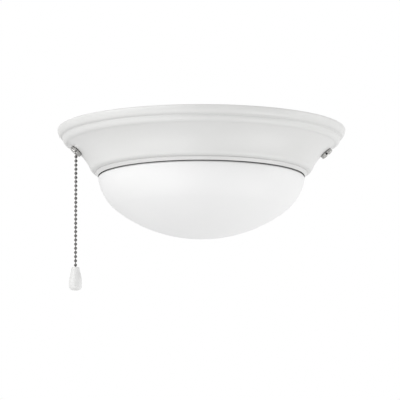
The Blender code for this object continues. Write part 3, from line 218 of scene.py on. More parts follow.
# A profile of (radius, height) points carried round Z. A thread and flutes are pressed inwards from the skin
# that lies outside "Over Radius".
def spinTree():
    kinds = [("Steps", "Int"), ("Reach", "Float"), ("Over Radius", "Float")]
    kinds += [("Thread " + label, "Float") for label in ("Pitch", "Depth", "From", "To")]
    kinds += [("Flute " + label, "Float") for label in ("Count", "Depth", "From", "To", "Ramp")]
    tree, given = newTree("spunProfile", kinds)
    outline = addNode(tree, "GeometryNodeMeshToCurve", {0: given["Geometry"]}).outputs[0]
    ringSizes = {"Resolution": given["Steps"], "Radius": given["Reach"]}
    ring = addNode(tree, "GeometryNodeCurvePrimitiveCircle", ringSizes).outputs[0]
    skin = addNode(tree, "GeometryNodeCurveToMesh", {"Curve": ring, "Profile Curve": outline}).outputs[0]
    skin = addNode(tree, "GeometryNodeMergeByDistance", {0: skin, "Distance": 0.000002}).outputs[0]
    spot = addNode(tree, "GeometryNodeInputPosition").outputs[0]
    x, y, z = addNode(tree, "ShaderNodeSeparateXYZ", {0: spot}).outputs
    radius = maths(tree, "SQRT", maths(tree, "ADD", maths(tree, "MULTIPLY", x, x), maths(tree, "MULTIPLY", y, y)))
    angle = maths(tree, "ARCTAN2", y, x)

    def wave(phase):
        return maths(tree, "MULTIPLY_ADD", maths(tree, "COSINE", phase), -0.5, 0.5)

    def within(kind, ramp):  # 1 between From and To, with a ramp at each end
        rise = maths(tree, "DIVIDE", maths(tree, "SUBTRACT", z, given[kind + " From"]), ramp, clamp=True)
        fall = maths(tree, "DIVIDE", maths(tree, "SUBTRACT", given[kind + " To"], z), ramp, clamp=True)
        return maths(tree, "MULTIPLY", rise, fall)

    pitch = given["Thread Pitch"]
    climb = maths(tree, "DIVIDE", maths(tree, "SUBTRACT", z, given["Thread From"]), pitch)
    helix = wave(maths(tree, "SUBTRACT", maths(tree, "MULTIPLY", climb, math.tau), angle))
    thread = maths(tree, "MULTIPLY", maths(tree, "MULTIPLY", helix, given["Thread Depth"]), within("Thread", pitch))
    rib = wave(maths(tree, "MULTIPLY", angle, given["Flute Count"]))
    flute = maths(tree, "MULTIPLY", maths(tree, "MULTIPLY", rib, given["Flute Depth"]), within("Flute", given["Flute Ramp"]))
    outer = maths(tree, "GREATER_THAN", radius, given["Over Radius"])
    inward = maths(tree, "MULTIPLY", maths(tree, "ADD", thread, flute), outer)
    share = maths(tree, "SUBTRACT", 1.0, maths(tree, "DIVIDE", inward, maths(tree, "MAXIMUM", radius, 0.0001)))
    moved = addNode(
        tree, "ShaderNodeCombineXYZ", {0: maths(tree, "MULTIPLY", x, share), 1: maths(tree, "MULTIPLY", y, share), 2: z}
    ).outputs[0]
    skin = addNode(tree, "GeometryNodeSetPosition", {0: skin, "Position": moved}).outputs[0]
    lathe = addNode(tree, "ShaderNodeCombineXYZ", {0: radius, 1: z}).outputs[0]
    stored = addNode(
        tree,
        "GeometryNodeStoreNamedAttribute",
        {0: skin, "Name": "turnedPlace", "Value": lathe},
        data_type="FLOAT_VECTOR",
        domain="POINT",
    ).outputs[0]
    return closeTree(tree, stored, given)


# A round wire or a rounded flat strip along a path. A strip's width lies along Y.
def sweepTree(flat):
    kinds = [("Width", "Float"), ("Thickness", "Float"), ("Corner", "Float"), ("Bend", "Float"), ("Sides", "Int")]
    tree, given = newTree("sweptStrip" if flat else "sweptWire", kinds)
    path = addNode(tree, "GeometryNodeMeshToCurve", {0: given["Geometry"]}).outputs[0]
    if flat:
        bent = {0: path, "Count": 8, "Radius": given["Bend"], "Limit Radius": True}
        path = addNode(tree, "GeometryNodeFilletCurve", bent, mode="POLY").outputs[0]
        free = {0: path, "Normal": (0, 1, 0)}
        path = addNode(tree, "GeometryNodeSetCurveNormal", free, mode="FREE").outputs[0]
        size = {"Width": given["Width"], "Height": given["Thickness"]}
        section = addNode(tree, "GeometryNodeCurvePrimitiveQuadrilateral", size).outputs[0]
        eased = {0: section, "Count": 3, "Radius": given["Corner"], "Limit Radius": True}
        section = addNode(tree, "GeometryNodeFilletCurve", eased, mode="POLY").outputs[0]
    else:
        size = {"Resolution": given["Sides"], "Radius": given["Width"]}
        section = addNode(tree, "GeometryNodeCurvePrimitiveCircle", size).outputs[0]
    swept = {"Curve": path, "Profile Curve": section, "Fill Caps": True}
    return closeTree(tree, addNode(tree, "GeometryNodeCurveToMesh", swept).outputs[0], given)


# Beads in a row down Z, with a link's rod below each.
def beadTree():
    kinds = [("Beads", "Int"), ("Rods", "Int"), ("Pitch", "Float"), ("Rod Radius", "Float"), ("Rod Length", "Float")]
    tree, given = newTree("ballChain", kinds + [("Bead", "Object")])
    step = addNode(tree, "ShaderNodeCombineXYZ", {2: maths(tree, "MULTIPLY", given["Pitch"], -1.0)}).outputs[0]
    half = addNode(tree, "ShaderNodeCombineXYZ", {2: maths(tree, "MULTIPLY", given["Pitch"], -0.5)}).outputs[0]
    bead = addNode(tree, "GeometryNodeObjectInfo", {"Object": given["Bead"]}).outputs["Geometry"]
    spots = addNode(tree, "GeometryNodeMeshLine", {"Count": given["Beads"], "Offset": step}).outputs[0]
    beads = addNode(tree, "GeometryNodeInstanceOnPoints", {0: spots, "Instance": bead}).outputs[0]
    rodSizes = {"Vertices": 12, "Radius": given["Rod Radius"], "Depth": given["Rod Length"]}
    rod = addNode(tree, "GeometryNodeMeshCylinder", rodSizes).outputs["Mesh"]
    between = {"Count": given["Rods"], "Start Location": half, "Offset": step}
    middles = addNode(tree, "GeometryNodeMeshLine", between).outputs[0]
    rods = addNode(tree, "GeometryNodeInstanceOnPoints", {0: middles, "Instance": rod}).outputs[0]
    joined = addNode(tree, "GeometryNodeJoinGeometry", {0: beads})
    tree.links.new(rods, joined.inputs[0])
    return closeTree(tree, joined.outputs[0], given)


# Copies of a piece on points, each with its Z turned to the point's "facing" and its X to "ahead".
def copyTree():
    tree, given = newTree("copiesOnPoints", [("Piece", "Object")])

    def stored(name):
        return addNode(
            tree, "GeometryNodeInputNamedAttribute", {"Name": name}, data_type="FLOAT_VECTOR"
        ).outputs["Attribute"]

    turn = addNode(tree, "FunctionNodeAlignRotationToVector", {"Vector": stored("facing")}, axis="Z").outputs[0]
    turn = addNode(
        tree,
        "FunctionNodeAlignRotationToVector",
        {"Rotation": turn, "Vector": stored("ahead")},
        axis="X",
        pivot_axis="Z",
    ).outputs[0]
    piece = addNode(tree, "GeometryNodeObjectInfo", {"Object": given["Piece"]}).outputs["Geometry"]
    spread = {0: given["Geometry"], "Instance": piece, "Rotation": turn}
    return closeTree(tree, addNode(tree, "GeometryNodeInstanceOnPoints", spread).outputs[0], given)


trees = {
    "spin": spinTree(), "strip": sweepTree(True), "wire": sweepTree(False), "beads": beadTree(), "copies": copyTree()
}
print("node trees made:", len(trees))


def linked(name, data):
    made = bpy.data.objects.new(name, data)
    bpy.context.scene.collection.objects.link(made)
    return made


# Bakes what a piece's modifiers make into its mesh, with outward faces and creases only at real corners.
def settled(piece, crease=32):
    bpy.context.view_layer.update()
    mesh = bpy.data.meshes.new_from_object(piece.evaluated_get(bpy.context.evaluated_depsgraph_get()))
    name = piece.name
    if piece.type == "MESH":
        piece.modifiers.clear()
        piece.data = mesh
    else:
        bpy.data.objects.remove(piece, do_unlink=True)
        piece = linked(name, mesh)
    mesh.name = name
    cleaned = bmesh.new()
    cleaned.from_mesh(mesh)
    bmesh.ops.remove_doubles(cleaned, verts=cleaned.verts, dist=0.000002)
    bmesh.ops.dissolve_degenerate(cleaned, edges=cleaned.edges, dist=0.0000005)
    bmesh.ops.recalc_face_normals(cleaned, faces=cleaned.faces)
    cleaned.to_mesh(mesh)
    cleaned.free()
    mesh.shade_smooth()
    mesh.set_sharp_from_angle(angle=math.radians(crease))
    return piece


def grown(name, mesh, tree, values, crease=32):
    piece = linked(name, mesh)
    change = piece.modifiers.new("grow", "NODES")
    change.node_group = trees[tree]
    for item in trees[tree].interface.items_tree:
        if item.in_out == "INPUT" and item.name in values:
            change[item.identifier] = values[item.name]
    return settled(piece, crease)


def edgeMesh(name, points, closed=False):
    mesh = bpy.data.meshes.new(name)
    edges = [(i, i + 1) for i in range(len(points) - 1)]
    if closed:
        edges.append((len(points) - 1, 0))
    mesh.from_pydata(points, edges, [])
    return mesh


# Says where a finished piece belongs: its body, the nodes that it stands for and its finish.
def fitted(piece, body, nodes=(), finishName=None, place=None):
    if place is not None:
        piece.data.transform(place)
    if finishName:
        piece.data.materials.clear()
        piece.data.materials.append(finishes[finishName])
    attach(piece, body)
    if nodes:
        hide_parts(*nodes)
    return piece


spinReach = 0.2  # radius of the ring that carries every profile


def spun(name, profile, steps, finishName, closed=False, crease=32, **extras):
    points = [spot for i, spot in enumerate(profile) if i == 0 or math.dist(spot, profile[i - 1]) > 0.000001]
    mesh = edgeMesh(name, [(r - spinReach, -z, 0) for r, z in points], closed)
    values = {"Steps": steps, "Reach": spinReach, "Material": finishes[finishName]}
    for key, value in extras.items():  # threadPitch becomes "Thread Pitch"
        label = "".join(" " + c if c.isupper() else c for c in key)
        values[label.title()] = value
    return grown(name, mesh, "spin", values, crease)


def arc(centre, radius, start, end, count):
    across, rise = radius if isinstance(radius, tuple) else (radius, radius)
    turns = [math.radians(start + (end - start) * i / count) for i in range(count + 1)]
    return [(centre[0] + across * math.cos(a), centre[1] + rise * math.sin(a)) for a in turns]


def arcCentre(start, end, radius):
    middle = (start + end) / 2
    half = (end - start) / 2
    away = math.sqrt(radius**2 - half.length_squared)
    return middle + Vector((half.y, -half.x)).normalized() * away


def arcBetween(centre, start, end, depth, count):
    radius = (start - centre).length + depth
    first = math.atan2(start.y - centre.y, start.x - centre.x)
    sweep = math.atan2(end.y - centre.y, end.x - centre.x) - first
    sweep = (sweep + math.pi) % math.tau - math.pi
    turns = [first + sweep * i / count for i in range(count + 1)]
    return [(centre.x + radius * math.cos(a), centre.y + radius * math.sin(a)) for a in turns]


# The corners of a profile eased to a radius, except its ends on the axis.
def eased(points, radius, closed=False, count=3):
    made = []
    total = len(points)
    for i, spot in enumerate(points):
        here = Vector(spot)
        if not closed and i in (0, total - 1):
            made.append(tuple(here))
            continue
        back = Vector(points[i - 1]) - here
        ahead = Vector(points[(i + 1) % total]) - here
        turn = back.angle(ahead)
        if turn > math.radians(160):
            made.append(tuple(here))
            continue
        cut = min(radius / math.tan(turn / 2), 0.45 * min(back.length, ahead.length))
        start = here + back.normalized() * cut
        end = here + ahead.normalized() * cut
        for j in range(count + 1):
            t = j / count
            made.append(tuple(start * (1 - t) ** 2 + here * 2 * t * (1 - t) + end * t**2))
    return made


def divided(points, length):  # extra points on the straight runs of a profile
    made = [points[0]]
    for a, b in zip(points, points[1:]):
        count = max(1, math.ceil(math.dist(a, b) / length))
        made += [(a[0] + (b[0] - a[0]) * i / count, a[1] + (b[1] - a[1]) * i / count) for i in range(1, count + 1)]
    return made


def around(radius, angle, z):
    return Vector((radius * math.cos(angle), radius * math.sin(angle), z))


def angles(count, first):
    return [math.radians(first) + math.tau * i / count for i in range(count)]


def seat(location, direction):
    return Matrix.Translation(location) @ direction.to_track_quat("Z", "Y").to_matrix().to_4x4()


def shapeMesh(name, build):
    made = bmesh.new()
    build(made)
    mesh = bpy.data.meshes.new(name)
    made.to_mesh(mesh)
    made.free()
    return mesh


# Cones given as (place, direction, first radius, last radius, length, sides), all in one cutter.
def coneCutter(name, cones):
    def build(made):
        for place, direction, first, last, length, sides in cones:
            bmesh.ops.create_cone(
                made, cap_ends=True, segments=sides, radius1=first, radius2=last, depth=length,
                matrix=seat(place, direction),
            )
    return linked(name, shapeMesh(name, build))


def cut(piece, tool, operation="DIFFERENCE", crease=32):
    change = piece.modifiers.new("cut", "BOOLEAN")
    change.operation = operation
    change.solver = "EXACT"
    change.object = tool
    settled(piece, crease)
    bpy.data.objects.remove(tool, do_unlink=True)
    return piece


# A stamped plate under Z = 0 from closed outlines, its edge first and then its holes, with eased edges.
def stamped(name, outlines, thickness, ease):
    curve = bpy.data.curves.new(name, "CURVE")
    curve.dimensions = "2D"
    curve.fill_mode = "BOTH"
    curve.extrude = thickness / 2 - ease
    curve.bevel_depth = ease
    curve.bevel_resolution = 1
    curve.offset = -ease
    for outline in outlines:
        spline = curve.splines.new("POLY")
        spline.points.add(len(outline) - 1)
        for point, (x, y) in zip(spline.points, outline):
            point.co = (x, y, 0, 1)
        spline.use_cyclic_u = True
    piece = settled(linked(name, curve))
    piece.data.transform(Matrix.Translation((0, 0, -thickness / 2)))
    return piece


def circle(centre, radius, count):
    turns = [math.tau * i / count for i in range(count)]
    return [(centre[0] + radius * math.cos(a), centre[1] + radius * math.sin(a)) for a in turns]


def joined(name, pieces):
    def build(made):
        for piece in pieces:
            made.from_mesh(piece.data)
    mesh = shapeMesh(name, build)
    for piece in pieces:
        bpy.data.objects.remove(piece, do_unlink=True)
    whole = linked(name, mesh)
    mesh.shade_smooth()
    mesh.set_sharp_from_angle(angle=math.radians(32))
    return whole


# One prototype repeated on points, each (place, facing, ahead).
def copied(name, prototype, places, finishName):
    mesh = bpy.data.meshes.new(name)
    mesh.from_pydata([place for place, facing, ahead in places], [], [])
    for label, column in (("facing", 1), ("ahead", 2)):
        stored = mesh.attributes.new(label, "FLOAT_VECTOR", "POINT")
        for i, spot in enumerate(places):
            stored.data[i].vector = spot[column]
    values = {"Piece": prototype, "Material": finishes[finishName]}
    piece = grown(name, mesh, "copies", values)
    bpy.data.objects.remove(prototype, do_unlink=True)
    return piece


pan = {
    "sheet": 0.001, "steps": 192,
    "rimRadius": 0.146, "rimTop": 0.008, "rimFlange": 0.0026, "rimRound": 0.0015,
    "beadDepth": 0.005, "beadHeight": 0.0074, "grooveStep": 0.0008, "ovolo": (0.0055, 0.0063),
    "coveRadius": 0.052, "foot": (0.1130, -0.0324), "footRound": 0.007, "creaseInset": (0.0042, 0.0044), "creaseEased": 3,
    "lipZ": -0.041, "lipBead": 0.0014, "lipSpread": 0.0011, "lipRise": 0.0034, "lipFall": 50, "lipTurn": 0.0006,
    "collarRadius": 0.1042, "collarRound": 0.002, "floorZ": -0.019, "wireHole": 0.012,
    "dimpleZ": -0.0345, "dimpleReach": 0.0032, "dimpleBase": 0.0022, "dimpleTip": 0.0015, "dimpleAngle": 90,
}
crown = (pan["rimRadius"] - pan["rimRound"], pan["rimTop"] - pan["rimRound"])
groove = (pan["rimRadius"] - pan["beadDepth"], crown[1] - pan["beadHeight"])
coveHead = Vector((groove[0] - pan["ovolo"][0], groove[1] - pan["grooveStep"] - pan["ovolo"][1]))
coveFoot = Vector(pan["foot"])
crease = coveFoot - Vector(pan["creaseInset"])
coveCentre = arcCentre(coveFoot, coveHead, pan["coveRadius"])


# The sheet at a depth under its outer skin, from the rim's flange to the wire hole.
def panSkin(depth):
    points = [(crown[0] - pan["rimFlange"], pan["rimTop"] - depth)]
    points += arc(crown, pan["rimRound"] - depth, 90, 0, 6)
    points += arc((groove[0], crown[1]), (pan["beadDepth"] - depth, pan["beadHeight"] - depth), 0, -80, 20)
    if depth:
        points.append((groove[0] - depth, groove[1] + depth))
    wide, tall = pan["ovolo"]
    points += arc((coveHead.x, coveHead.y + tall), (wide - depth, tall - depth), 0, -90, 16)
    points += arcBetween(coveCentre, coveHead, coveFoot, depth, 26)
    foot = arcBetween(arcCentre(coveFoot, crease, pan["footRound"]), coveFoot, crease, -depth, 10)
    points += foot if depth else foot[:-pan["creaseEased"]]
    hem = pan["collarRadius"] + pan["lipTurn"]
    lipMiddle = (hem + pan["lipSpread"], pan["lipZ"] + pan["lipRise"])
    lip = arc(lipMiddle, pan["lipBead"] - depth, pan["lipFall"], -pan["lipFall"], 10)
    points += lip if depth else lip[pan["creaseEased"]:]
    if depth:
        inner = pan["collarRadius"] + depth
        fall = (points[-1][0] - inner) / math.tan(math.radians(pan["lipFall"]))
        points.append((inner, points[-1][1] - fall))
    else:
        points += arc((hem, pan["lipZ"] + pan["lipTurn"]), pan["lipTurn"], -60, -180, 6)
    corner = (pan["collarRadius"] - pan["collarRound"], pan["floorZ"] - pan["collarRound"])
    points += arc(corner, pan["collarRound"] + depth, 0, 90, 6)
    points.append((pan["wireHole"], pan["floorZ"] + depth))
    return points


necks = {
    "rise": 0.0263, "radius": 0.005, "bore": 0.0028, "mouth": 0.0047, "mouthDepth": 0.0033, "proud": 0.0002,
    "nutRadius": 0.0066, "nutThickness": 0.0034, "nutStandoff": 0.00065, "nutRound": 0.0005,
    "lockWidth": 0.014, "lockThickness": 0.0025, "lockStandoff": 0.0005, "guideTail": 0.002, "threadPitch": 0.0007,
}
neckSine = (pan["lipZ"] + necks["rise"] - coveCentre.y) / pan["coveRadius"]
neckCosine = math.sqrt(1 - neckSine**2)


def neckSeat(side):
    place = Vector((side * (coveCentre.x - pan["coveRadius"] * neckCosine), 0, pan["lipZ"] + necks["rise"]))
    return place, Vector((side * neckCosine, 0, -neckSine))


screws = {
    "panCircle": 0.0635, "strapOffset": 0.028, "radius": 0.002, "headRadius": 0.004, "headHeight": 0.0024,
    "endLength": 0.0035, "threadPitch": 0.0007, "threadDepth": 0.0003, "legAngle": 0,
    "recess": (0.0045, 0.0009, 0.0013),  # length, width and depth of the cross in the head
    "socketRadius": 0.0018, "socketHead": 0.0032, "socketHeadHeight": 0.0018, "socketDepth": 0.005,
}
springs = {
    "angle": 35, "leaf": 0.0005, "width": 0.008, "start": 0.0840, "foot": 0.009, "riser": 0.0079, "tip": 0.002,
    "tipLift": 0.001, "bend": 0.0015, "rivetRadius": 0.0016, "rivetHead": 0.003, "rivetHeadHeight": 0.0012,
}
rivetCircle = springs["start"] + springs["foot"] / 2


def makePan():
    piece = spun("fitterPan", panSkin(0) + panSkin(pan["sheet"])[::-1], pan["steps"], "whiteEnamel", closed=True)
    dimples = angles(3, pan["dimpleAngle"])
    length = pan["dimpleReach"] + pan["sheet"] / 2
    tipRadius = pan["collarRadius"] - pan["dimpleReach"]
    studs = [
        (around(tipRadius + length / 2, a, pan["dimpleZ"]), around(-1, a, 0), pan["dimpleBase"], pan["dimpleTip"], length, 32)
        for a in dimples
    ]
    cut(piece, coneCutter("dimpleStuds", studs), "UNION")
    dents = [
        (around(tipRadius + 0.0028, a, pan["dimpleZ"]), around(-1, a, 0), 0.0019, 0.0008, 0.004, 32) for a in dimples
    ]
    cut(piece, coneCutter("dimpleDents", dents))
    holes = []
    for side in (-1, 1):
        place, direction = neckSeat(side)
        holes.append((place, direction, necks["radius"] + gap, necks["radius"] + gap, 0.006, 48))
    floor = pan["floorZ"]
    bore = screws["radius"] + gap
    holes += [(around(screws["panCircle"], a, floor), up, bore, bore, 0.006, 32) for a in angles(3, screws["legAngle"])]
    holes += [(Vector((0, side * screws["strapOffset"], floor)), up, bore, bore, 0.006, 32) for side in (-1, 1)]
    eye = springs["rivetRadius"] + gap
    holes += [(around(rivetCircle, a, floor), up, eye, eye, 0.006, 24) for a in angles(3, springs["angle"])]
    cut(piece, coneCutter("panHoles", holes))
    fitted(piece, "pan_assembly", ["fitter_pan"], "whiteEnamel")


makePan()
print("pan made")

bowl = {
    "wall": 0.003, "radius": 0.1052, "widestZ": -0.0360, "edgeZ": -0.0436, "edgeRound": 0.002, "shoulder": 0.049,
    "bottomZ": -0.1037, "neckRadius": 0.1005, "neckZ": -0.0403, "flangeUnderZ": -0.0320, "flangeTopZ": -0.0286, "flangeRadius": 0.1037,
    "flatRadius": 0.1007, "flatAngle": 135, "steps": 192,
}


def makeBowl():
    middle = (bowl["radius"] - bowl["shoulder"], bowl["widestZ"])
    depth = bowl["widestZ"] - bowl["bottomZ"]
    ball = (middle[0] ** 2 + depth**2 - bowl["shoulder"] ** 2) / (2 * (depth - bowl["shoulder"]))
    ballZ = bowl["bottomZ"] + ball
    meet = math.degrees(math.atan2(ballZ - bowl["widestZ"], middle[0]))

    def side(wall):  # the profile starts below the widest height, so the arc starts at a turn
        level = bowl["edgeZ"] + bowl["edgeRound"] - wall if wall else bowl["edgeZ"]
        first = -math.asin((bowl["widestZ"] - level) / (bowl["shoulder"] - wall))
        points = [(bowl["neckRadius"] - wall, bowl["neckZ"])]
        if wall:
            points.append((bowl["neckRadius"] - wall, level))
        else:
            reach = bowl["shoulder"] - bowl["edgeRound"]
            edge = (middle[0] + reach * math.cos(first), middle[1] + reach * math.sin(first))
            points += arc(edge, bowl["edgeRound"], 90, math.degrees(first), 8)[:-1]
        points += arc(middle, bowl["shoulder"] - wall, math.degrees(first), -meet, 20)
        points += arc((0, ballZ), ball - wall, -meet, -90, 36)[1:]
        points[-1] = (0, points[-1][1])
        return points

    flange = eased(
        [
            (bowl["neckRadius"] - bowl["wall"], bowl["neckZ"]),
            (bowl["neckRadius"] - bowl["wall"], bowl["flangeTopZ"]),
            (bowl["flangeRadius"], bowl["flangeTopZ"]),
            (bowl["flangeRadius"], bowl["flangeUnderZ"]),
            (bowl["neckRadius"], bowl["flangeUnderZ"]),
            (bowl["neckRadius"], bowl["neckZ"]),
        ],
        0.0006,
    )
    profile = side(bowl["wall"])[::-1] + flange[1:-1] + side(0)
    piece = spun("glassBowl", profile, bowl["steps"], "opalGlass")
    flats = shapeMesh("flangeFlats", lambda made: [
        bmesh.ops.create_cube(
            made, size=1,
            matrix=Matrix.Translation(around(bowl["flatRadius"] + 0.004, a, (bowl["flangeTopZ"] + bowl["flangeUnderZ"]) / 2))
            @ Matrix.Rotation(a, 4, "Z") @ Matrix.Diagonal((0.008, 0.06, 0.006, 1)),
        )
        for a in angles(3, bowl["flatAngle"])
    ])
    cut(piece, linked("flangeFlats", flats))
    fitted(piece, "bowl", ["glass_bowl"], "opalGlass")


makeBowl()
print("bowl made")

nutFace = necks["nutStandoff"] + necks["nutThickness"]
neckEnd = nutFace + necks["proud"]
lockBack = pan["sheet"] + necks["lockStandoff"] + necks["lockThickness"]
switchFront = lockBack + gap
switch = {
    "radius": 0.010, "length": 0.0145, "wall": 0.0015, "cover": 0.0015, "flangeRadius": 0.0064, "flange": 0.001,
    "plungerRadius": 0.0068, "plunger": 0.0015, "rod": 0.0009, "backGap": 0.0018, "leadSpacing": 0.0055,
    "springRadius": 0.0034, "springWire": 0.0003, "springTurns": 4,
}
chain = {
    "bead": 0.0016, "pitch": 0.00426, "rod": 0.00045, "lipGap": 0.00035, "firstDrop": 0.0013,
    "counts": (2, 6, 6, 5, 5, 4), "plungerBeads": 2, "hole": 0.00062, "steps": 24,
}


def bellMouth():
    flare = necks["mouth"] - necks["bore"]
    turns = [i / 10 for i in range(11)]
    return [
        (necks["mouth"] - flare * math.sin(t * math.pi / 2), neckEnd - necks["mouthDepth"] * t**1.2) for t in turns
    ]


def makeNuts(side, label):
    place = seat(*neckSeat(side))
    bore = necks["radius"] + gap
    base = necks["nutStandoff"]
    loop = [(bore, nutFace), (necks["nutRadius"], nutFace), (necks["nutRadius"], base), (bore, base)]
    ring = spun(label + "RingNut", divided(eased(loop, necks["nutRound"], True, 5), 0.0004), 64, "polishedNickel", True)
    fitted(ring, "pan_assembly", [label + "_ring_nut"], "polishedNickel", place)
    corner = necks["lockWidth"] / math.sqrt(3)
    hexagon = stamped(label + "LockNut", [circle((0, 0), corner, 6), circle((0, 0), bore, 48)], necks["lockThickness"], 0.0001)
    hexagon.data.materials.append(finishes["zincSteel"])
    thick = necks["lockThickness"]
    lens = [(0, 0), (necks["lockWidth"] * 0.49, 0), (corner * 1.01, -0.0007), (corner * 1.01, 0.0007 - thick)]
    lens += [(necks["lockWidth"] * 0.49, -thick), (0, -thick)]
    cut(hexagon, spun(label + "Chamfer", lens, 48, "zincSteel"), "INTERSECT")
    back = Matrix.Translation((0, 0, -pan["sheet"] - necks["lockStandoff"]))
    fitted(hexagon, "pan_assembly", [label + "_lock_nut"], "zincSteel", place @ back)


def makeNecks():
    inner = -switchFront - switch["wall"]
    flangeFace = inner - gap
    profile = bellMouth()[::-1]
    profile += divided([(necks["radius"], neckEnd), (necks["radius"], flangeFace)], 0.00012)
    profile += [
        (switch["flangeRadius"], flangeFace),
        (switch["flangeRadius"], flangeFace - switch["flange"]),
        (necks["bore"], flangeFace - switch["flange"]),
    ]
    neck = spun(
        "switchNeck", profile, 48, "polishedNickel", True, overRadius=necks["radius"] - 0.0003,
        threadPitch=necks["threadPitch"], threadDepth=0.0003, threadFrom=flangeFace, threadTo=neckEnd,
    )
    fitted(neck, "pan_assembly", ["switch_neck"], "polishedNickel", seat(*neckSeat(-1)))
    tail = -lockBack - necks["guideTail"]
    profile = bellMouth()[::-1]
    profile += divided([(necks["radius"], neckEnd), (necks["radius"], tail)], 0.00012) + [(necks["bore"], tail)]
    guide = spun(
        "chainGuide", profile, 48, "polishedNickel", True, overRadius=necks["radius"] - 0.0003,
        threadPitch=necks["threadPitch"], threadDepth=0.0003, threadFrom=tail, threadTo=neckEnd,
    )
    fitted(guide, "pan_assembly", ["chain_guide"], "polishedNickel", seat(*neckSeat(1)))


def makeSwitch():
    place = seat(*neckSeat(-1))
    front = -switchFront
    back = front - switch["length"]
    bore = necks["radius"] + gap
    wall = switch["wall"]
    cup = eased(
        [
            (bore, front), (switch["radius"], front), (switch["radius"], back), (switch["radius"] - wall, back),
            (switch["radius"] - wall, front - wall), (bore, front - wall),
        ],
        0.0007, True, 4,
    )
    body = spun(
        "switchBody", divided(cup, 0.0008), 96, "phenolic", True, overRadius=0.0092, fluteCount=24.0,
        fluteDepth=0.0003, fluteFrom=back + 0.003, fluteTo=front - 0.003, fluteRamp=0.001,
    )
    fitted(body, "pan_assembly", ["switch_body"], "phenolic", place)
    face = back - gap
    coverBack = face - switch["cover"]
    lid = eased([(0, face), (switch["radius"], face), (switch["radius"], coverBack), (0, coverBack)], 0.0006)
    cover = spun("switchCover", lid, 64, "phenolic")
    holes = [(Vector((way * switch["leadSpacing"], 0, face - 0.00075)), up, 0.0014, 0.0014, 0.006, 24) for way in (-1, 1)]
    cut(cover, coneCutter("coverHoles", holes))
    fitted(cover, "pan_assembly", ["switch_cover"], "phenolic", place)

    discBack = back + switch["backGap"]
    discFront = discBack + switch["plunger"]
    knot = bendHeight - chain["pitch"] + chain["firstDrop"]
    rodTop = knot - chain["plungerBeads"] * chain["pitch"] + chain["bead"] + 0.0006
    stem = eased(
        [
            (0, rodTop), (switch["rod"], rodTop), (switch["rod"], discFront), (switch["plungerRadius"], discFront),
            (switch["plungerRadius"], discBack), (0, discBack),
        ],
        0.0003,
    )
    plunger = spun("switchPlunger", stem, 40, "polishedNickel")
    fitted(plunger, "plunger", ["switch_plunger"], "polishedNickel", place)
    beads = beadRun("plungerBeads", chain["plungerBeads"], chain["plungerBeads"])
    fitted(beads, "plunger", (), "chainNickel", place @ Matrix.Translation((0, 0, knot)))

    low = discFront + gap + switch["springWire"]
    high = front - wall - gap - switch["flange"] - gap - switch["springWire"]
    count = switch["springTurns"] * 24
    coil = []
    for i in range(count + 1):
        spot = around(switch["springRadius"], math.tau * i / 24, low + (high - low) * i / count)
        coil.append(tuple(spot))
    values = {"Width": switch["springWire"], "Sides": 10, "Material": finishes["zincSteel"]}
    spring = grown("returnSpring", edgeMesh("returnSpring", coil), "wire", values)
    fitted(spring, "pan_assembly", ["switch_spring"], "zincSteel", place)
    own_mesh(spring)


radiusShort = necks["mouth"] * neckSine - chain["bead"] - chain["lipGap"]
bendHeight = neckEnd - radiusShort / neckCosine
switchPlace, switchWay = neckSeat(-1)
chainTopAt = switchPlace + switchWay * bendHeight - up * chain["firstDrop"]


# Hollow stamped bead with a small hole at each pole, where the links' ends go in.
def beadPrototype():
    size = chain["bead"]
    edge = math.degrees(math.asin(chain["hole"] / size))
    shell = arc((0, 0), size, 90 - edge, edge - 90, 14)
    pit = size * 0.55
    return spun("beadPrototype", [(0, pit)] + shell + [(0, -pit)], chain["steps"], "chainNickel", crease=50)


def beadRun(name, beads, rods):
    prototype = beadPrototype()
    values = {
        "Beads": beads, "Rods": rods, "Pitch": chain["pitch"], "Rod Radius": chain["rod"],
        "Rod Length": chain["pitch"] - 2 * chain["bead"] + 0.0006, "Bead": prototype,
        "Material": finishes["chainNickel"],
    }
    piece = grown(name, bpy.data.meshes.new(name), "beads", values, 50)
    bpy.data.objects.remove(prototype, do_unlink=True)
    return piece


def makeChain():
    bodies = ["top_beads"] + ["chain_%d" % n for n in range(1, 6)]
    nodes = ["chain_top"] + ["chain_length_%d" % n for n in range(1, 6)]
    drop = 0
    for number, count in enumerate(chain["counts"]):
        last = number == len(chain["counts"]) - 1
        piece = beadRun("chainTop" if number == 0 else "chainLength%d" % number, count + last, count)
        place = Matrix.Translation(chainTopAt - up * drop * chain["pitch"])
        fitted(piece, bodies[number], [nodes[number]], "chainNickel", place)
        drop += count
    return chainTopAt - up * drop * chain["pitch"]


for neckSide, neckLabel in ((-1, "switch"), (1, "guide")):
    makeNuts(neckSide, neckLabel)
makeNecks()
makeSwitch()
lastBeadAt = makeChain()
print("nuts, switch and chain made")

pull = {
    "height": 0.0235, "radius": 0.0066, "topRadius": 0.0041, "topRound": 0.0011, "widestDrop": 0.0163,
    "footRadius": 0.0064, "footRound": 0.0041, "footFlat": 0.002, "beadGap": 0.0007, "hole": 0.0009, "pocketGap": 0.0005,
    "flank": ((0.18, 0.19), (0.44, 0.58), (0.77, 0.92)), "steps": 64,
}


def smoothed(stops, perSpan):
    ends = [2 * stops[0] - stops[1]] + stops + [2 * stops[-1] - stops[-2]]
    points = []
    for i in range(1, len(ends) - 2):
        a, b, c, d = ends[i - 1 : i + 3]
        for j in range(perSpan):
            t = j / perSpan
            points.append((2 * b + (c - a) * t + (2 * a - 5 * b + 4 * c - d) * t**2 + (3 * b - a - 3 * c + d) * t**3) / 2)
    points.append(stops[-1])
    return points


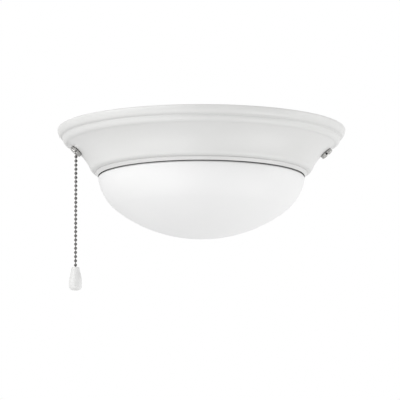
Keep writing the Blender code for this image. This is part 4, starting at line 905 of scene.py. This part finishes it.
def makePull():
    top = chain["pitch"] - chain["bead"] - pull["beadGap"]
    pocket = chain["bead"] + pull["pocketGap"]
    foot = top - pull["height"]
    shoulder = top - pull["topRound"]
    start = Vector((pull["topRadius"], shoulder))
    flank = Vector((pull["radius"], top - pull["widestDrop"])) - start
    stops = [start] + [start + Vector((flank.x * out, flank.y * down)) for down, out in pull["flank"]] + [start + flank]
    outer = eased([(pull["hole"], top), (pull["hole"] + 0.0006, top)], 0.0002)
    outer += arc((pull["topRadius"] - pull["topRound"], shoulder), pull["topRound"], 90, 0, 8)
    outer += [tuple(spot) for spot in smoothed(stops, 6)][1:]
    size = (pull["footRadius"] - pull["footFlat"], pull["footRound"])
    outer += arc((pull["footFlat"], foot + pull["footRound"]), size, 0, -90, 14)
    outer.append((0, foot))
    inner = [(0, -pocket)] + arc((0, 0), pocket, -80, 0, 8) + [(pocket, pocket / 2), (pull["hole"], pocket)]
    piece = spun("pullFob", inner + outer, pull["steps"], "pullPlastic", crease=40)
    fitted(piece, "pull", ["pull_fob"], "pullPlastic", Matrix.Translation(lastBeadAt))


makePull()
print("pull made")

plate = {
    "thickness": 0.0016, "radius": 0.056, "keyCircle": 0.038, "keyAngle": 60, "keyHead": 0.0045, "keySlot": 0.0025,
    "keyLength": 0.009, "wireHole": 0.009, "wireHoleAt": -0.020, "legRadius": 0.0544, "legWidth": 0.016,
    "legFoot": 0.015, "legBend": 0.002, "edge": 0.0002,
}
strap = {
    "thickness": 0.0016, "halfWidth": 0.022, "armWidth": 0.016, "hole": 0.0155, "endMargin": 0.002, "corner": 0.003,
    "earBelow": 0.010, "edge": 0.0002,
}
grommet = {"bore": 0.0095, "lip": 0.014, "lipHeight": 0.0014, "round": 0.0006}
socket = {
    "spacing": 0.060, "z": -0.048, "back": 0.050, "radius": 0.016, "length": 0.036, "backWall": 0.007,
    "bore": 0.0144, "edge": 0.001, "shellWall": 0.0004, "shellGap": 0.00035, "contact": 0.0005,
    "contactWidth": 0.005, "contactFoot": 0.004, "contactLift": 0.0024, "leadSpacing": 0.0055, "leadHole": 0.0014,
    "flutes": 28, "fluteDepth": 0.0003,
}
thread = {"radius": 0.013, "depth": 0.00045, "pitch": 0.0036, "turns": 3, "start": 0.0055, "steps": 72}
floorUnder = pan["floorZ"]
floorTop = floorUnder + pan["sheet"]
tipAt = socket["backWall"] + socket["contactLift"] + socket["contact"] + gap  # a bulb's tip from its socket's back


def keyhole(turn):
    half = plate["keySlot"]
    join = math.sqrt(plate["keyHead"] ** 2 - half**2)
    opening = math.degrees(math.atan2(half, join))
    outline = arc((0, 0), plate["keyHead"], opening + 90, 450 - opening, 28)
    outline += arc((0, plate["keyLength"]), half, 0, 180, 14)
    turned = Matrix.Rotation(turn, 2)
    return [tuple(turned @ Vector((x + plate["keyCircle"], y))) for x, y in outline]


def bentStrip(name, path, width, thickness, bend, finishName):
    values = {
        "Width": width, "Thickness": thickness, "Corner": thickness * 0.2, "Bend": bend,
        "Material": finishes[finishName],
    }
    return grown(name, edgeMesh(name, [(x, 0, z) for x, z in path]), "strip", values)


def makePlate():
    outlines = [circle((0, 0), plate["radius"], 160), circle((plate["wireHoleAt"], 0), plate["wireHole"], 64)]
    outlines += [keyhole(a) for a in angles(3, plate["keyAngle"])]
    piece = stamped("mountingPlate", outlines, plate["thickness"], plate["edge"])
    piece.data.materials.append(finishes["zincSteel"])
    half = plate["thickness"] / 2
    footZ = floorTop + gap + half
    path = [(plate["legRadius"], -half), (plate["legRadius"], footZ), (plate["legRadius"] + plate["legFoot"], footZ)]
    bore = screws["radius"] + gap
    for number, a in enumerate(angles(3, screws["legAngle"])):
        leg = bentStrip("leg%d" % number, path, plate["legWidth"], plate["thickness"], plate["legBend"], "zincSteel")
        leg.data.transform(Matrix.Rotation(a, 4, "Z"))
        cut(piece, leg, "UNION")
    holes = [(around(screws["panCircle"], a, footZ), up, bore, bore, 0.006, 32) for a in angles(3, screws["legAngle"])]
    cut(piece, coneCutter("footHoles", holes))
    fitted(piece, "pan_assembly", ["mounting_plate"], "zincSteel")


# A pan-head screw under Z = 0 with its thread above, and a cross pressed into its head.
def screwPrototype(name, radius, headRadius, headHeight, length):
    dome = headHeight * 0.45
    profile = [(0, length), (radius * 0.7, length)]
    profile += divided([(radius, length - radius * 0.3), (radius, 0)], 0.00012)
    profile += eased([(radius, 0), (headRadius, 0), (headRadius, dome - headHeight)], 0.0003)[1:]
    profile += arc((0, dome - headHeight), (headRadius, dome), 0, -90, 10)[1:-1] + [(0, -headHeight)]
    piece = spun(
        name, profile, 32, "zincSteel", overRadius=radius * 0.6, threadPitch=screws["threadPitch"],
        threadDepth=screws["threadDepth"], threadFrom=0.0002, threadTo=length,
    )
    long, wide, deep = screws["recess"]

    size = Matrix.Diagonal((long * headRadius / screws["headRadius"], wide, 2 * deep, 1))
    for turn in (0, math.pi / 2):  # one arm of the cross at a time
        place = Matrix.Translation((0, 0, -headHeight)) @ Matrix.Rotation(turn, 4, "Z") @ size
        arm = shapeMesh(name + "Arm", lambda made: bmesh.ops.create_cube(made, size=1, matrix=place))
        cut(piece, linked(name + "Arm", arm))
    return piece


def socketPlaces(along):  # both sockets' axes, at a distance from their back faces
    places = []
    for way in (1, -1):
        back = Vector((way * (gap - socket["back"]), way * socket["spacing"] / 2, socket["z"]))
        facing = Vector((way, 0, 0))
        places.append((back + facing * along, facing, Vector((0, way, 0))))
    return places


def makeScrews():
    headZ = floorUnder - gap
    grip = pan["sheet"] + 2 * gap
    ahead = Vector((0.8, 0.6, 0))
    sizes = (screws["radius"], screws["headRadius"], screws["headHeight"])
    piece = copied(
        "panScrews",
        screwPrototype("panScrew", *sizes, grip + plate["thickness"] + screws["endLength"]),
        [(around(screws["panCircle"], a, headZ), up, ahead) for a in angles(3, screws["legAngle"])],
        "zincSteel",
    )
    fitted(piece, "pan_assembly", ["pan_screw_%d" % n for n in (1, 2, 3)], "zincSteel")
    below = floorUnder - gap - strap["thickness"] - gap
    piece = copied(
        "strapScrews",
        screwPrototype("strapScrew", *sizes, grip + strap["thickness"] + screws["endLength"]),
        [(Vector((0, way * screws["strapOffset"], below)), up, ahead) for way in (-1, 1)],
        "zincSteel",
    )
    fitted(piece, "pan_assembly", ["strap_screw_1", "strap_screw_2"], "zincSteel")
    length = strap["thickness"] + gap + screws["socketDepth"]
    piece = copied(
        "socketScrews",
        screwPrototype("socketScrew", screws["socketRadius"], screws["socketHead"], screws["socketHeadHeight"], length),
        socketPlaces(-strap["thickness"] - 2 * gap),
        "zincSteel",
    )
    fitted(piece, "pan_assembly", ["socket_screw_1", "socket_screw_2"], "zincSteel")


def makeSprings():
    footZ = floorUnder - gap - springs["leaf"] / 2
    touchZ = bowl["flangeTopZ"] + gap + springs["leaf"]
    bend = springs["start"] + springs["foot"]
    touch = bend + springs["riser"]
    path = [(springs["start"], footZ), (bend, footZ), (touch, touchZ)]
    path.append((touch + springs["tip"], touchZ + springs["tipLift"]))
    leaf = bentStrip("leafSpring", path, springs["width"], springs["leaf"], springs["bend"], "springSteel")
    eye = springs["rivetRadius"] + gap
    cut(leaf, coneCutter("springEye", [(Vector((rivetCircle, 0, footZ)), up, eye, eye, 0.004, 32)]))
    places = [(Vector((0, 0, 0)), up, around(1, a, 0)) for a in angles(3, springs["angle"])]
    piece = copied("glassSprings", leaf, places, "springSteel")
    fitted(piece, "pan_assembly", ["glass_spring_%d" % n for n in (1, 2, 3)], "springSteel")
    grip = pan["sheet"] + springs["leaf"] + 3 * gap
    head = springs["rivetHead"]
    tall = springs["rivetHeadHeight"]
    profile = arc((0, grip), (head, tall), 90, 0, 8) + [(springs["rivetRadius"], grip), (springs["rivetRadius"], 0)]
    profile += arc((0, 0), (head, tall), 0, -90, 8)
    profile[0] = (0, grip + tall)
    profile[-1] = (0, -tall)
    rivet = spun("springRivet", profile, 32, "zincSteel")
    under = footZ - springs["leaf"] / 2 - gap
    places = [(around(rivetCircle, a, under), up, around(1, a, 0)) for a in angles(3, springs["angle"])]
    piece = copied("springRivets", rivet, places, "zincSteel")
    fitted(piece, "pan_assembly", ["spring_rivet_%d" % n for n in (1, 2, 3)], "zincSteel")


def makeGrommet():
    groove = pan["wireHole"] - gap
    top = floorTop + gap
    under = floorUnder - gap
    lip = grommet["lip"]
    tall = grommet["lipHeight"]
    loop = [
        (grommet["bore"], top + tall), (lip, top + tall), (lip, top), (groove, top), (groove, under), (lip, under),
        (lip, under - tall), (grommet["bore"], under - tall),
    ]
    piece = spun("floorGrommet", eased(loop, grommet["round"], True, 4), 64, "bushRubber", True)
    fitted(piece, "pan_assembly", ["floor_grommet"], "bushRubber")


def makeStrap():
    thick = strap["thickness"]
    far = socket["back"] + thick + strap["endMargin"]
    side = socket["spacing"] / 2
    low = side - strap["armWidth"] / 2
    high = side + strap["armWidth"] / 2
    half = [(strap["halfWidth"], high), (-far, high), (-far, low), (-strap["halfWidth"], low)]
    outline = eased(half + [(-x, -y) for x, y in half], strap["corner"], True, 5)
    bore = screws["radius"] + gap
    outlines = [outline, circle((0, 0), strap["hole"], 96)]
    outlines += [circle((0, way * screws["strapOffset"]), bore, 32) for way in (-1, 1)]
    piece = stamped("socketStrap", outlines, thick, strap["edge"])
    piece.data.materials.append(finishes["zincSteel"])
    piece.data.transform(Matrix.Translation((0, 0, floorUnder - gap)))
    wide = strap["armWidth"] / 2
    top = floorUnder - gap - thick / 2
    foot = socket["z"] - strap["earBelow"] + wide
    ear = [(wide, top)] + arc((0, foot), wide, 0, -180, 24) + [(-wide, top)]
    bore = screws["socketRadius"] + gap
    for number, way in enumerate((1, -1), 1):
        upright = stamped("strapEar%d" % number, [ear, circle((0, socket["z"]), bore, 32)], thick, strap["edge"])
        upright.data.materials.append(finishes["zincSteel"])
        stand = Matrix(((0, 0, 1, -socket["back"]), (1, 0, 0, side), (0, 1, 0, 0), (0, 0, 0, 1)))
        upright.data.transform(Matrix.Rotation(0 if way == 1 else math.pi, 4, "Z") @ stand)
        cut(piece, upright, "UNION")
    fitted(piece, "pan_assembly", ["socket_strap"], "zincSteel")


def makeSockets():
    bore = socket["bore"]
    eye = screws["socketRadius"] + gap
    deep = screws["socketDepth"] + gap
    radius = socket["radius"]
    wall = eased(
        [
            (0, socket["backWall"]), (bore, socket["backWall"]), (bore, socket["length"]), (radius, socket["length"]),
            (radius, 0), (eye, 0), (eye, deep), (0, deep),
        ],
        socket["edge"], False, 4,
    )
    body = spun(
        "socketBody", divided(wall, 0.001), 112, "phenolic", overRadius=radius - 0.0004, fluteCount=float(socket["flutes"]),
        fluteDepth=socket["fluteDepth"], fluteFrom=0.009, fluteTo=socket["length"] - 0.003, fluteRamp=0.001,
    )
    rise = math.sqrt(radius**2 - socket["leadSpacing"] ** 2)
    holes = []
    for way in (-1, 1):
        place = Vector((way * socket["leadSpacing"], rise, socket["backWall"] / 2))
        holes.append((place, Vector((0, 1, 0)), socket["leadHole"], socket["leadHole"], 0.008, 24))
    cut(body, coneCutter("leadHoles", holes))
    piece = copied("socketBodies", body, socketPlaces(0), "phenolic")
    fitted(piece, "pan_assembly", ["socket_body_1", "socket_body_2"], "phenolic")

    base = socket["backWall"] + gap
    crest = thread["radius"] + socket["shellGap"]
    thin = socket["shellWall"]
    start = tipAt + thread["start"]
    mouth = start + thread["turns"] * thread["pitch"]
    loop = divided([(0.009, base + thin), (crest, base + thin), (crest, mouth), (crest + thin, mouth)], 0.0004)
    loop += divided([(crest + thin, mouth), (crest + thin, base), (0.009, base)], 0.0004)[1:]
    shell = spun(
        "screwShell", loop, thread["steps"], "brass", True, 40, overRadius=0.0125, threadPitch=thread["pitch"],
        threadDepth=thread["depth"], threadFrom=start, threadTo=mouth,
    )
    piece = copied("screwShells", shell, socketPlaces(0), "brass")
    fitted(piece, "pan_assembly", ["socket_thread_1", "socket_thread_2"], "brass")

    foot = base + socket["contact"] / 2
    high = foot + socket["contactLift"] - socket["contact"]
    reach = socket["contactFoot"] / 2
    path = [(-socket["contactFoot"] - reach, foot), (-reach, foot), (-reach / 2, high), (reach, high)]
    leaf = bentStrip("contactLeaf", path, socket["contactWidth"], socket["contact"], 0.0005, "brass")
    piece = copied("socketContacts", leaf, socketPlaces(0), "brass")
    fitted(piece, "pan_assembly", ["socket_contact_1", "socket_contact_2"], "brass")


bulb = {
    "tipRadius": 0.004, "tipBase": 0.0075, "tipHeight": 0.0027, "capBase": 0.009, "cap": 0.0255,
    "neckRadius": 0.0128, "neck": 0.003, "housingRadius": 0.0225, "housing": 0.024, "ribs": 26, "ribDepth": 0.0005,
    "globeRadius": 0.024, "globeBase": 0.0226, "waist": 0.012, "dome": 0.026, "wall": 0.0012, "steps": 104,
}


def makeBulb(number):
    body = "bulb_%d" % number
    label = "bulb%d" % number
    place, facing, ahead = socketPlaces(tipAt)[number - 1]
    stand = seat(place, facing)
    tall = bulb["tipHeight"]
    button = [(0, tall), (bulb["tipBase"], tall), (bulb["tipRadius"] + 0.0006, 0.0007), (bulb["tipRadius"], 0), (0, 0)]
    tip = spun(label + "Tip", eased(button, 0.0004), 48, "brass")
    fitted(tip, body, [body + "_tip"], "brass", stand)

    root = thread["radius"] - 0.0007
    start = thread["start"]
    end = start + thread["turns"] * thread["pitch"]
    foot = tall + gap
    profile = [(0, bulb["cap"]), (root, bulb["cap"]), (root, end + 0.0006), (thread["radius"], end)]
    profile = divided(profile + [(thread["radius"], start), (bulb["capBase"], foot), (0, foot)], 0.0004)
    cap = spun(
        label + "Cap", profile, thread["steps"], "capMetal", False, 40, overRadius=0.0125,
        threadPitch=thread["pitch"], threadDepth=thread["depth"], threadFrom=start, threadTo=end,
    )
    fitted(cap, body, [body + "_cap"], "capMetal", stand)

    foot = bulb["cap"] + gap
    top = foot + bulb["housing"]
    neck = foot + bulb["neck"]
    wide = bulb["housingRadius"]
    slim = bulb["neckRadius"]
    flank = smoothed([Vector((wide, top)), Vector(((wide + slim) / 2 + 0.001, (top + neck) / 2)), Vector((slim, neck))], 14)
    profile = [(0, top), (wide - 0.0008, top)] + [tuple(spot) for spot in flank[1:]] + [(slim, foot), (0, foot)]
    housing = spun(
        label + "Housing", divided(profile, 0.001), bulb["steps"], "bulbHousing", overRadius=slim + 0.0004,
        fluteCount=float(bulb["ribs"]), fluteDepth=bulb["ribDepth"], fluteFrom=neck + 0.002, fluteTo=top - 0.002,
        fluteRamp=0.003,
    )
    fitted(housing, body, [body + "_housing"], "bulbHousing", stand)

    base = top + gap
    waist = base + bulb["waist"]

    def dome(wall):
        points = arc((0, waist), (bulb["globeRadius"] - wall, bulb["dome"] - wall), 90, 0, 24)
        points[0] = (0, points[0][1])
        swell = [(bulb["globeRadius"] - wall, waist), (bulb["globeBase"] + 0.0011 - wall, waist - 0.006)]
        stops = [Vector(spot) for spot in swell + [(bulb["globeBase"] - wall, base)]]
        return points + [tuple(spot) for spot in smoothed(stops, 6)][1:]

    globe = spun(label + "Globe", dome(0) + dome(bulb["wall"])[::-1], bulb["steps"], "bulbDiffuser")
    fitted(globe, body, [body + "_globe"], "bulbDiffuser", stand)


leads = {
    "radius": 0.0011, "sides": 14, "holeDepth": 0.004, "underDrop": 0.0055, "bend": 0.004, "inlet": 0.0055,
    "bundle": 0.0023, "bundleTurn": 120, "tuck": 0.007, "rise": 0.003, "over": 0.098, "down": 0.082,
}
connectors = {
    "length": 0.021, "radius": 0.0062, "tip": 0.004, "bore": 0.0046, "boreDepth": 0.013, "reach": 0.0325,
    "supplyOffset": 0.014, "ribs": 12, "ribDepth": 0.0006,
}
connectorZ = floorTop + gap + connectors["radius"]
mouths = {
    "hot": (Vector((0, connectors["reach"], connectorZ)), Vector((0, -1, 0))),
    "neutral": (Vector((0, -connectors["reach"], connectorZ)), Vector((0, 1, 0))),
    "supply": (Vector((-connectors["reach"], -connectors["supplyOffset"], connectorZ)), Vector((-1, 0, 0))),
}


def makeConnectors():
    long = connectors["length"]
    bore = connectors["bore"]
    wall = eased(
        [
            (0, -connectors["boreDepth"]), (bore, -connectors["boreDepth"]), (bore, 0), (connectors["radius"], 0),
            (connectors["radius"], -long / 3), (connectors["tip"], -long), (0, -long),
        ],
        0.0008, False, 5,
    )
    cap = spun(
        "twistConnector", divided(wall, 0.0005), 96, "connectorPlastic", overRadius=bore * 0.8,
        fluteCount=float(connectors["ribs"]), fluteDepth=connectors["ribDepth"], fluteFrom=-long + 0.0015,
        fluteTo=-0.0035, fluteRamp=0.0015,
    )
    places = [(mouth, facing, up) for mouth, facing in mouths.values()]
    piece = copied("twistConnectors", cap, places, "connectorPlastic")
    fitted(piece, "pan_assembly", ["connector_" + pole for pole in mouths], "connectorPlastic")


def bundleStops(pole, turn):
    mouth, facing = mouths[pole]
    across = Matrix.Rotation(turn, 3, facing) @ up * leads["bundle"]
    return [mouth + across + facing * leads["tuck"], mouth + across, mouth + across - facing * leads["tuck"]]


def makeLead(name, node, route):
    finishName = "whiteInsulation" if "neutral" in node else "blackInsulation"
    values = {"Width": leads["radius"], "Sides": leads["sides"], "Material": finishes[finishName]}
    piece = grown(name, edgeMesh(name, [tuple(spot) for spot in route]), "wire", values)
    fitted(piece, "pan_assembly", [node], finishName)


def makeLeads():
    under = floorUnder - gap - strap["thickness"] - leads["underDrop"]
    rise = math.sqrt(socket["radius"] ** 2 - socket["leadSpacing"] ** 2)
    for number, (back, facing, ahead) in enumerate(socketPlaces(0), 1):
        side = -1 if number == 1 else 1
        for way in (-1, 1):
            north = way * side < 0
            pole = "hot" if north else "neutral"
            out = seat(back, facing) @ Vector((way * socket["leadSpacing"], rise, socket["backWall"] / 2))
            spot = Vector((side, 1 if north else -1, 0)).normalized() * leads["inlet"]
            stops = [
                out + up * gap,
                out + up * leads["rise"],
                Vector((out.x - side * leads["bend"], out.y, under)),
                Vector((spot.x + side * leads["bend"], spot.y, under)),
                spot + up * floorUnder,
                spot + up * (connectorZ - leads["rise"] / 2),
            ]
            turn = math.radians(leads["bundleTurn"]) * (-side if north else side)
            route = [out - up * (leads["holeDepth"] / 2)] + smoothed(stops + bundleStops(pole, turn), 8)
            makeLead("%sLead%d" % (pole, number), "lead_%s_%d" % (pole, number), route)

    axis = seat(*neckSeat(-1))
    back = -switchFront - switch["length"] - gap - switch["cover"] / 2
    level = connectorZ + leads["bundle"]
    for way, pole in ((-1, "hot"), (1, "supply")):
        start = axis @ Vector((way * switch["leadSpacing"], 0, back))
        clear = back - switch["cover"]
        stops = [axis @ Vector((way * switch["leadSpacing"], 0, along)) for along in (clear, clear - leads["rise"])]
        stops.append(Vector((-leads["over"], start.y, start.z)))
        stops.append(Vector((-leads["down"], start.y, level + leads["rise"])))
        if pole == "hot":
            third = connectors["reach"] / 3
            stops.append(Vector((-connectors["reach"], third, level + leads["rise"])))
            stops.append(Vector((-third, connectors["reach"] / 2, level + leads["rise"] / 2)))
        route = [start] + smoothed(stops + bundleStops(pole, 0), 8)
        makeLead("switch%sLead" % pole.title(), "lead_switch_" + pole, route)


makePlate()
makeScrews()
makeSprings()
makeGrommet()
makeStrap()
print("plate, strap, springs and screws made")
makeSockets()
makeBulb(1)
makeBulb(2)
print("sockets and bulbs made")
makeConnectors()
makeLeads()
print("connectors and leads made")

studio = {
    "azimuth": -3.0, "elevation": -9.0, "distance": 4.9, "frame": 0.4055,  # frame: metres across at the object
    "shown": (201.4, 176.7),  # where the lip's middle lies in the 400 x 400 picture
    "white": 1.0, "ambient": 0.62, "flagDistance": 2.6, "flagSize": (1.5, 1.8),
    "lampDistance": 2.3,
    "lamps": [  # azimuth and elevation as seen from the object, width and height, watts
        {"name": "keySoftbox", "azimuth": -52, "elevation": 15, "size": (2.6, 1.2), "power": 26.0},
        {"name": "sideSoftbox", "azimuth": 88, "elevation": 2, "size": (1.6, 1.4), "power": 13.5},
        {"name": "lowLeftSoftbox", "azimuth": -45, "elevation": -50, "size": (1.8, 1.2), "power": 10.0},
        {"name": "lowRightSoftbox", "azimuth": 72, "elevation": -50, "size": (1.8, 1.2), "power": 12.0},
    ],
    "bounce": 0.9,  # how much light the floor gives back
}


def wayTo(thing):  # from the object to the camera or a lamp
    turn = math.radians(thing["azimuth"])
    tilt = math.radians(thing["elevation"])
    return Vector((math.sin(turn) * math.cos(tilt), -math.cos(turn) * math.cos(tilt), math.sin(tilt)))


def rayWhite(tree, shade):  # white where a camera, glossy or transmission ray meets it, and shade otherwise
    path = addNode(tree, "ShaderNodeLightPath").outputs
    seen = maths(tree, "MAXIMUM", path["Is Camera Ray"], path["Is Glossy Ray"])
    seen = maths(tree, "MAXIMUM", seen, path["Is Transmission Ray"])
    return addNode(tree, "ShaderNodeMixShader", {0: seen, 1: shade}), seen


def makeStage():
    world = bpy.data.worlds.new("studio")
    bpy.context.scene.world = world
    world.use_nodes = True
    tree = world.node_tree
    tree.nodes.clear()
    ambient = addNode(tree, "ShaderNodeBackground", {"Color": (1, 1, 1, 1), "Strength": studio["ambient"]})
    white = addNode(tree, "ShaderNodeBackground", {"Color": (1, 1, 1, 1), "Strength": studio["white"]})
    shown, seen = rayWhite(tree, ambient.outputs[0])
    tree.links.new(white.outputs[0], shown.inputs[2])
    tree.links.new(shown.outputs[0], addNode(tree, "ShaderNodeOutputWorld").inputs[0])

    floorPaint = bpy.data.materials.new("paleFloor")
    floorPaint.use_nodes = True
    tree = floorPaint.node_tree
    shader = tree.nodes["Principled BSDF"]
    shader.inputs["Base Color"].default_value = (studio["bounce"],) * 3 + (1,)
    shader.inputs["Roughness"].default_value = 0.9
    glow = addNode(tree, "ShaderNodeEmission", {"Color": (1, 1, 1, 1), "Strength": studio["white"]})
    shown, seen = rayWhite(tree, shader.outputs[0])
    tree.links.new(glow.outputs[0], shown.inputs[2])
    tree.links.new(shown.outputs[0], tree.nodes["Material Output"].inputs[0])
    floorMesh = shapeMesh("floor", lambda made: bmesh.ops.create_grid(made, x_segments=1, y_segments=1, size=20))
    floorMesh.transform(Matrix.Translation((0, 0, -6)))
    floorMesh.materials.append(floorPaint)
    linked("floor", floorMesh)

    flagPaint = bpy.data.materials.new("darkFlag")  # a dark card round the camera, which only metal shows
    flagPaint.use_nodes = True
    flagPaint.node_tree.nodes["Principled BSDF"].inputs["Base Color"].default_value = (0.02, 0.02, 0.02, 1)
    wide, tall = studio["flagSize"]
    flagMesh = shapeMesh("flag", lambda made: bmesh.ops.create_grid(
        made, x_segments=1, y_segments=1, size=0.5, matrix=Matrix.Diagonal((wide, tall, 1, 1))))
    flagMesh.transform(Matrix.Translation(wayTo(studio) * studio["flagDistance"])
                       @ wayTo(studio).to_track_quat("Z", "Y").to_matrix().to_4x4())
    flagMesh.materials.append(flagPaint)
    flag = linked("flag", flagMesh)
    flag.visible_camera = flag.visible_diffuse = flag.visible_shadow = flag.visible_transmission = False

    aim = Vector((0, 0, -0.03))
    for lamp in studio["lamps"]:
        light = bpy.data.lights.new(lamp["name"], "AREA")
        light.shape = "RECTANGLE"
        light.size, light.size_y = lamp["size"]
        light.energy = lamp["power"]
        holder = linked(lamp["name"], light)
        holder.location = wayTo(lamp) * studio["lampDistance"]
        holder.rotation_euler = (aim - holder.location).to_track_quat("-Z", "Y").to_euler()
        holder.visible_camera = False


def makeCamera():
    back = wayTo(studio)
    data = bpy.data.cameras.new("camera")
    data.sensor_width = 36
    data.lens = data.sensor_width * studio["distance"] / studio["frame"]
    data.clip_end = 50
    view = (-back).to_track_quat("-Z", "Y")
    metresPerPixel = studio["frame"] / 400
    across = (studio["shown"][0] - 200) * metresPerPixel
    rise = (200 - studio["shown"][1]) * metresPerPixel
    middle = Vector((0, 0, pan["lipZ"])) - view @ Vector((across, rise, 0))
    camera = linked("camera", data)
    camera.rotation_mode = "QUATERNION"
    camera.rotation_quaternion = view
    camera.location = middle + back * studio["distance"]
    bpy.context.scene.camera = camera


makeStage()
makeCamera()
bpy.context.scene.view_settings.view_transform = "Standard"
print("stage and camera made")

bpy.context.view_layer.update()
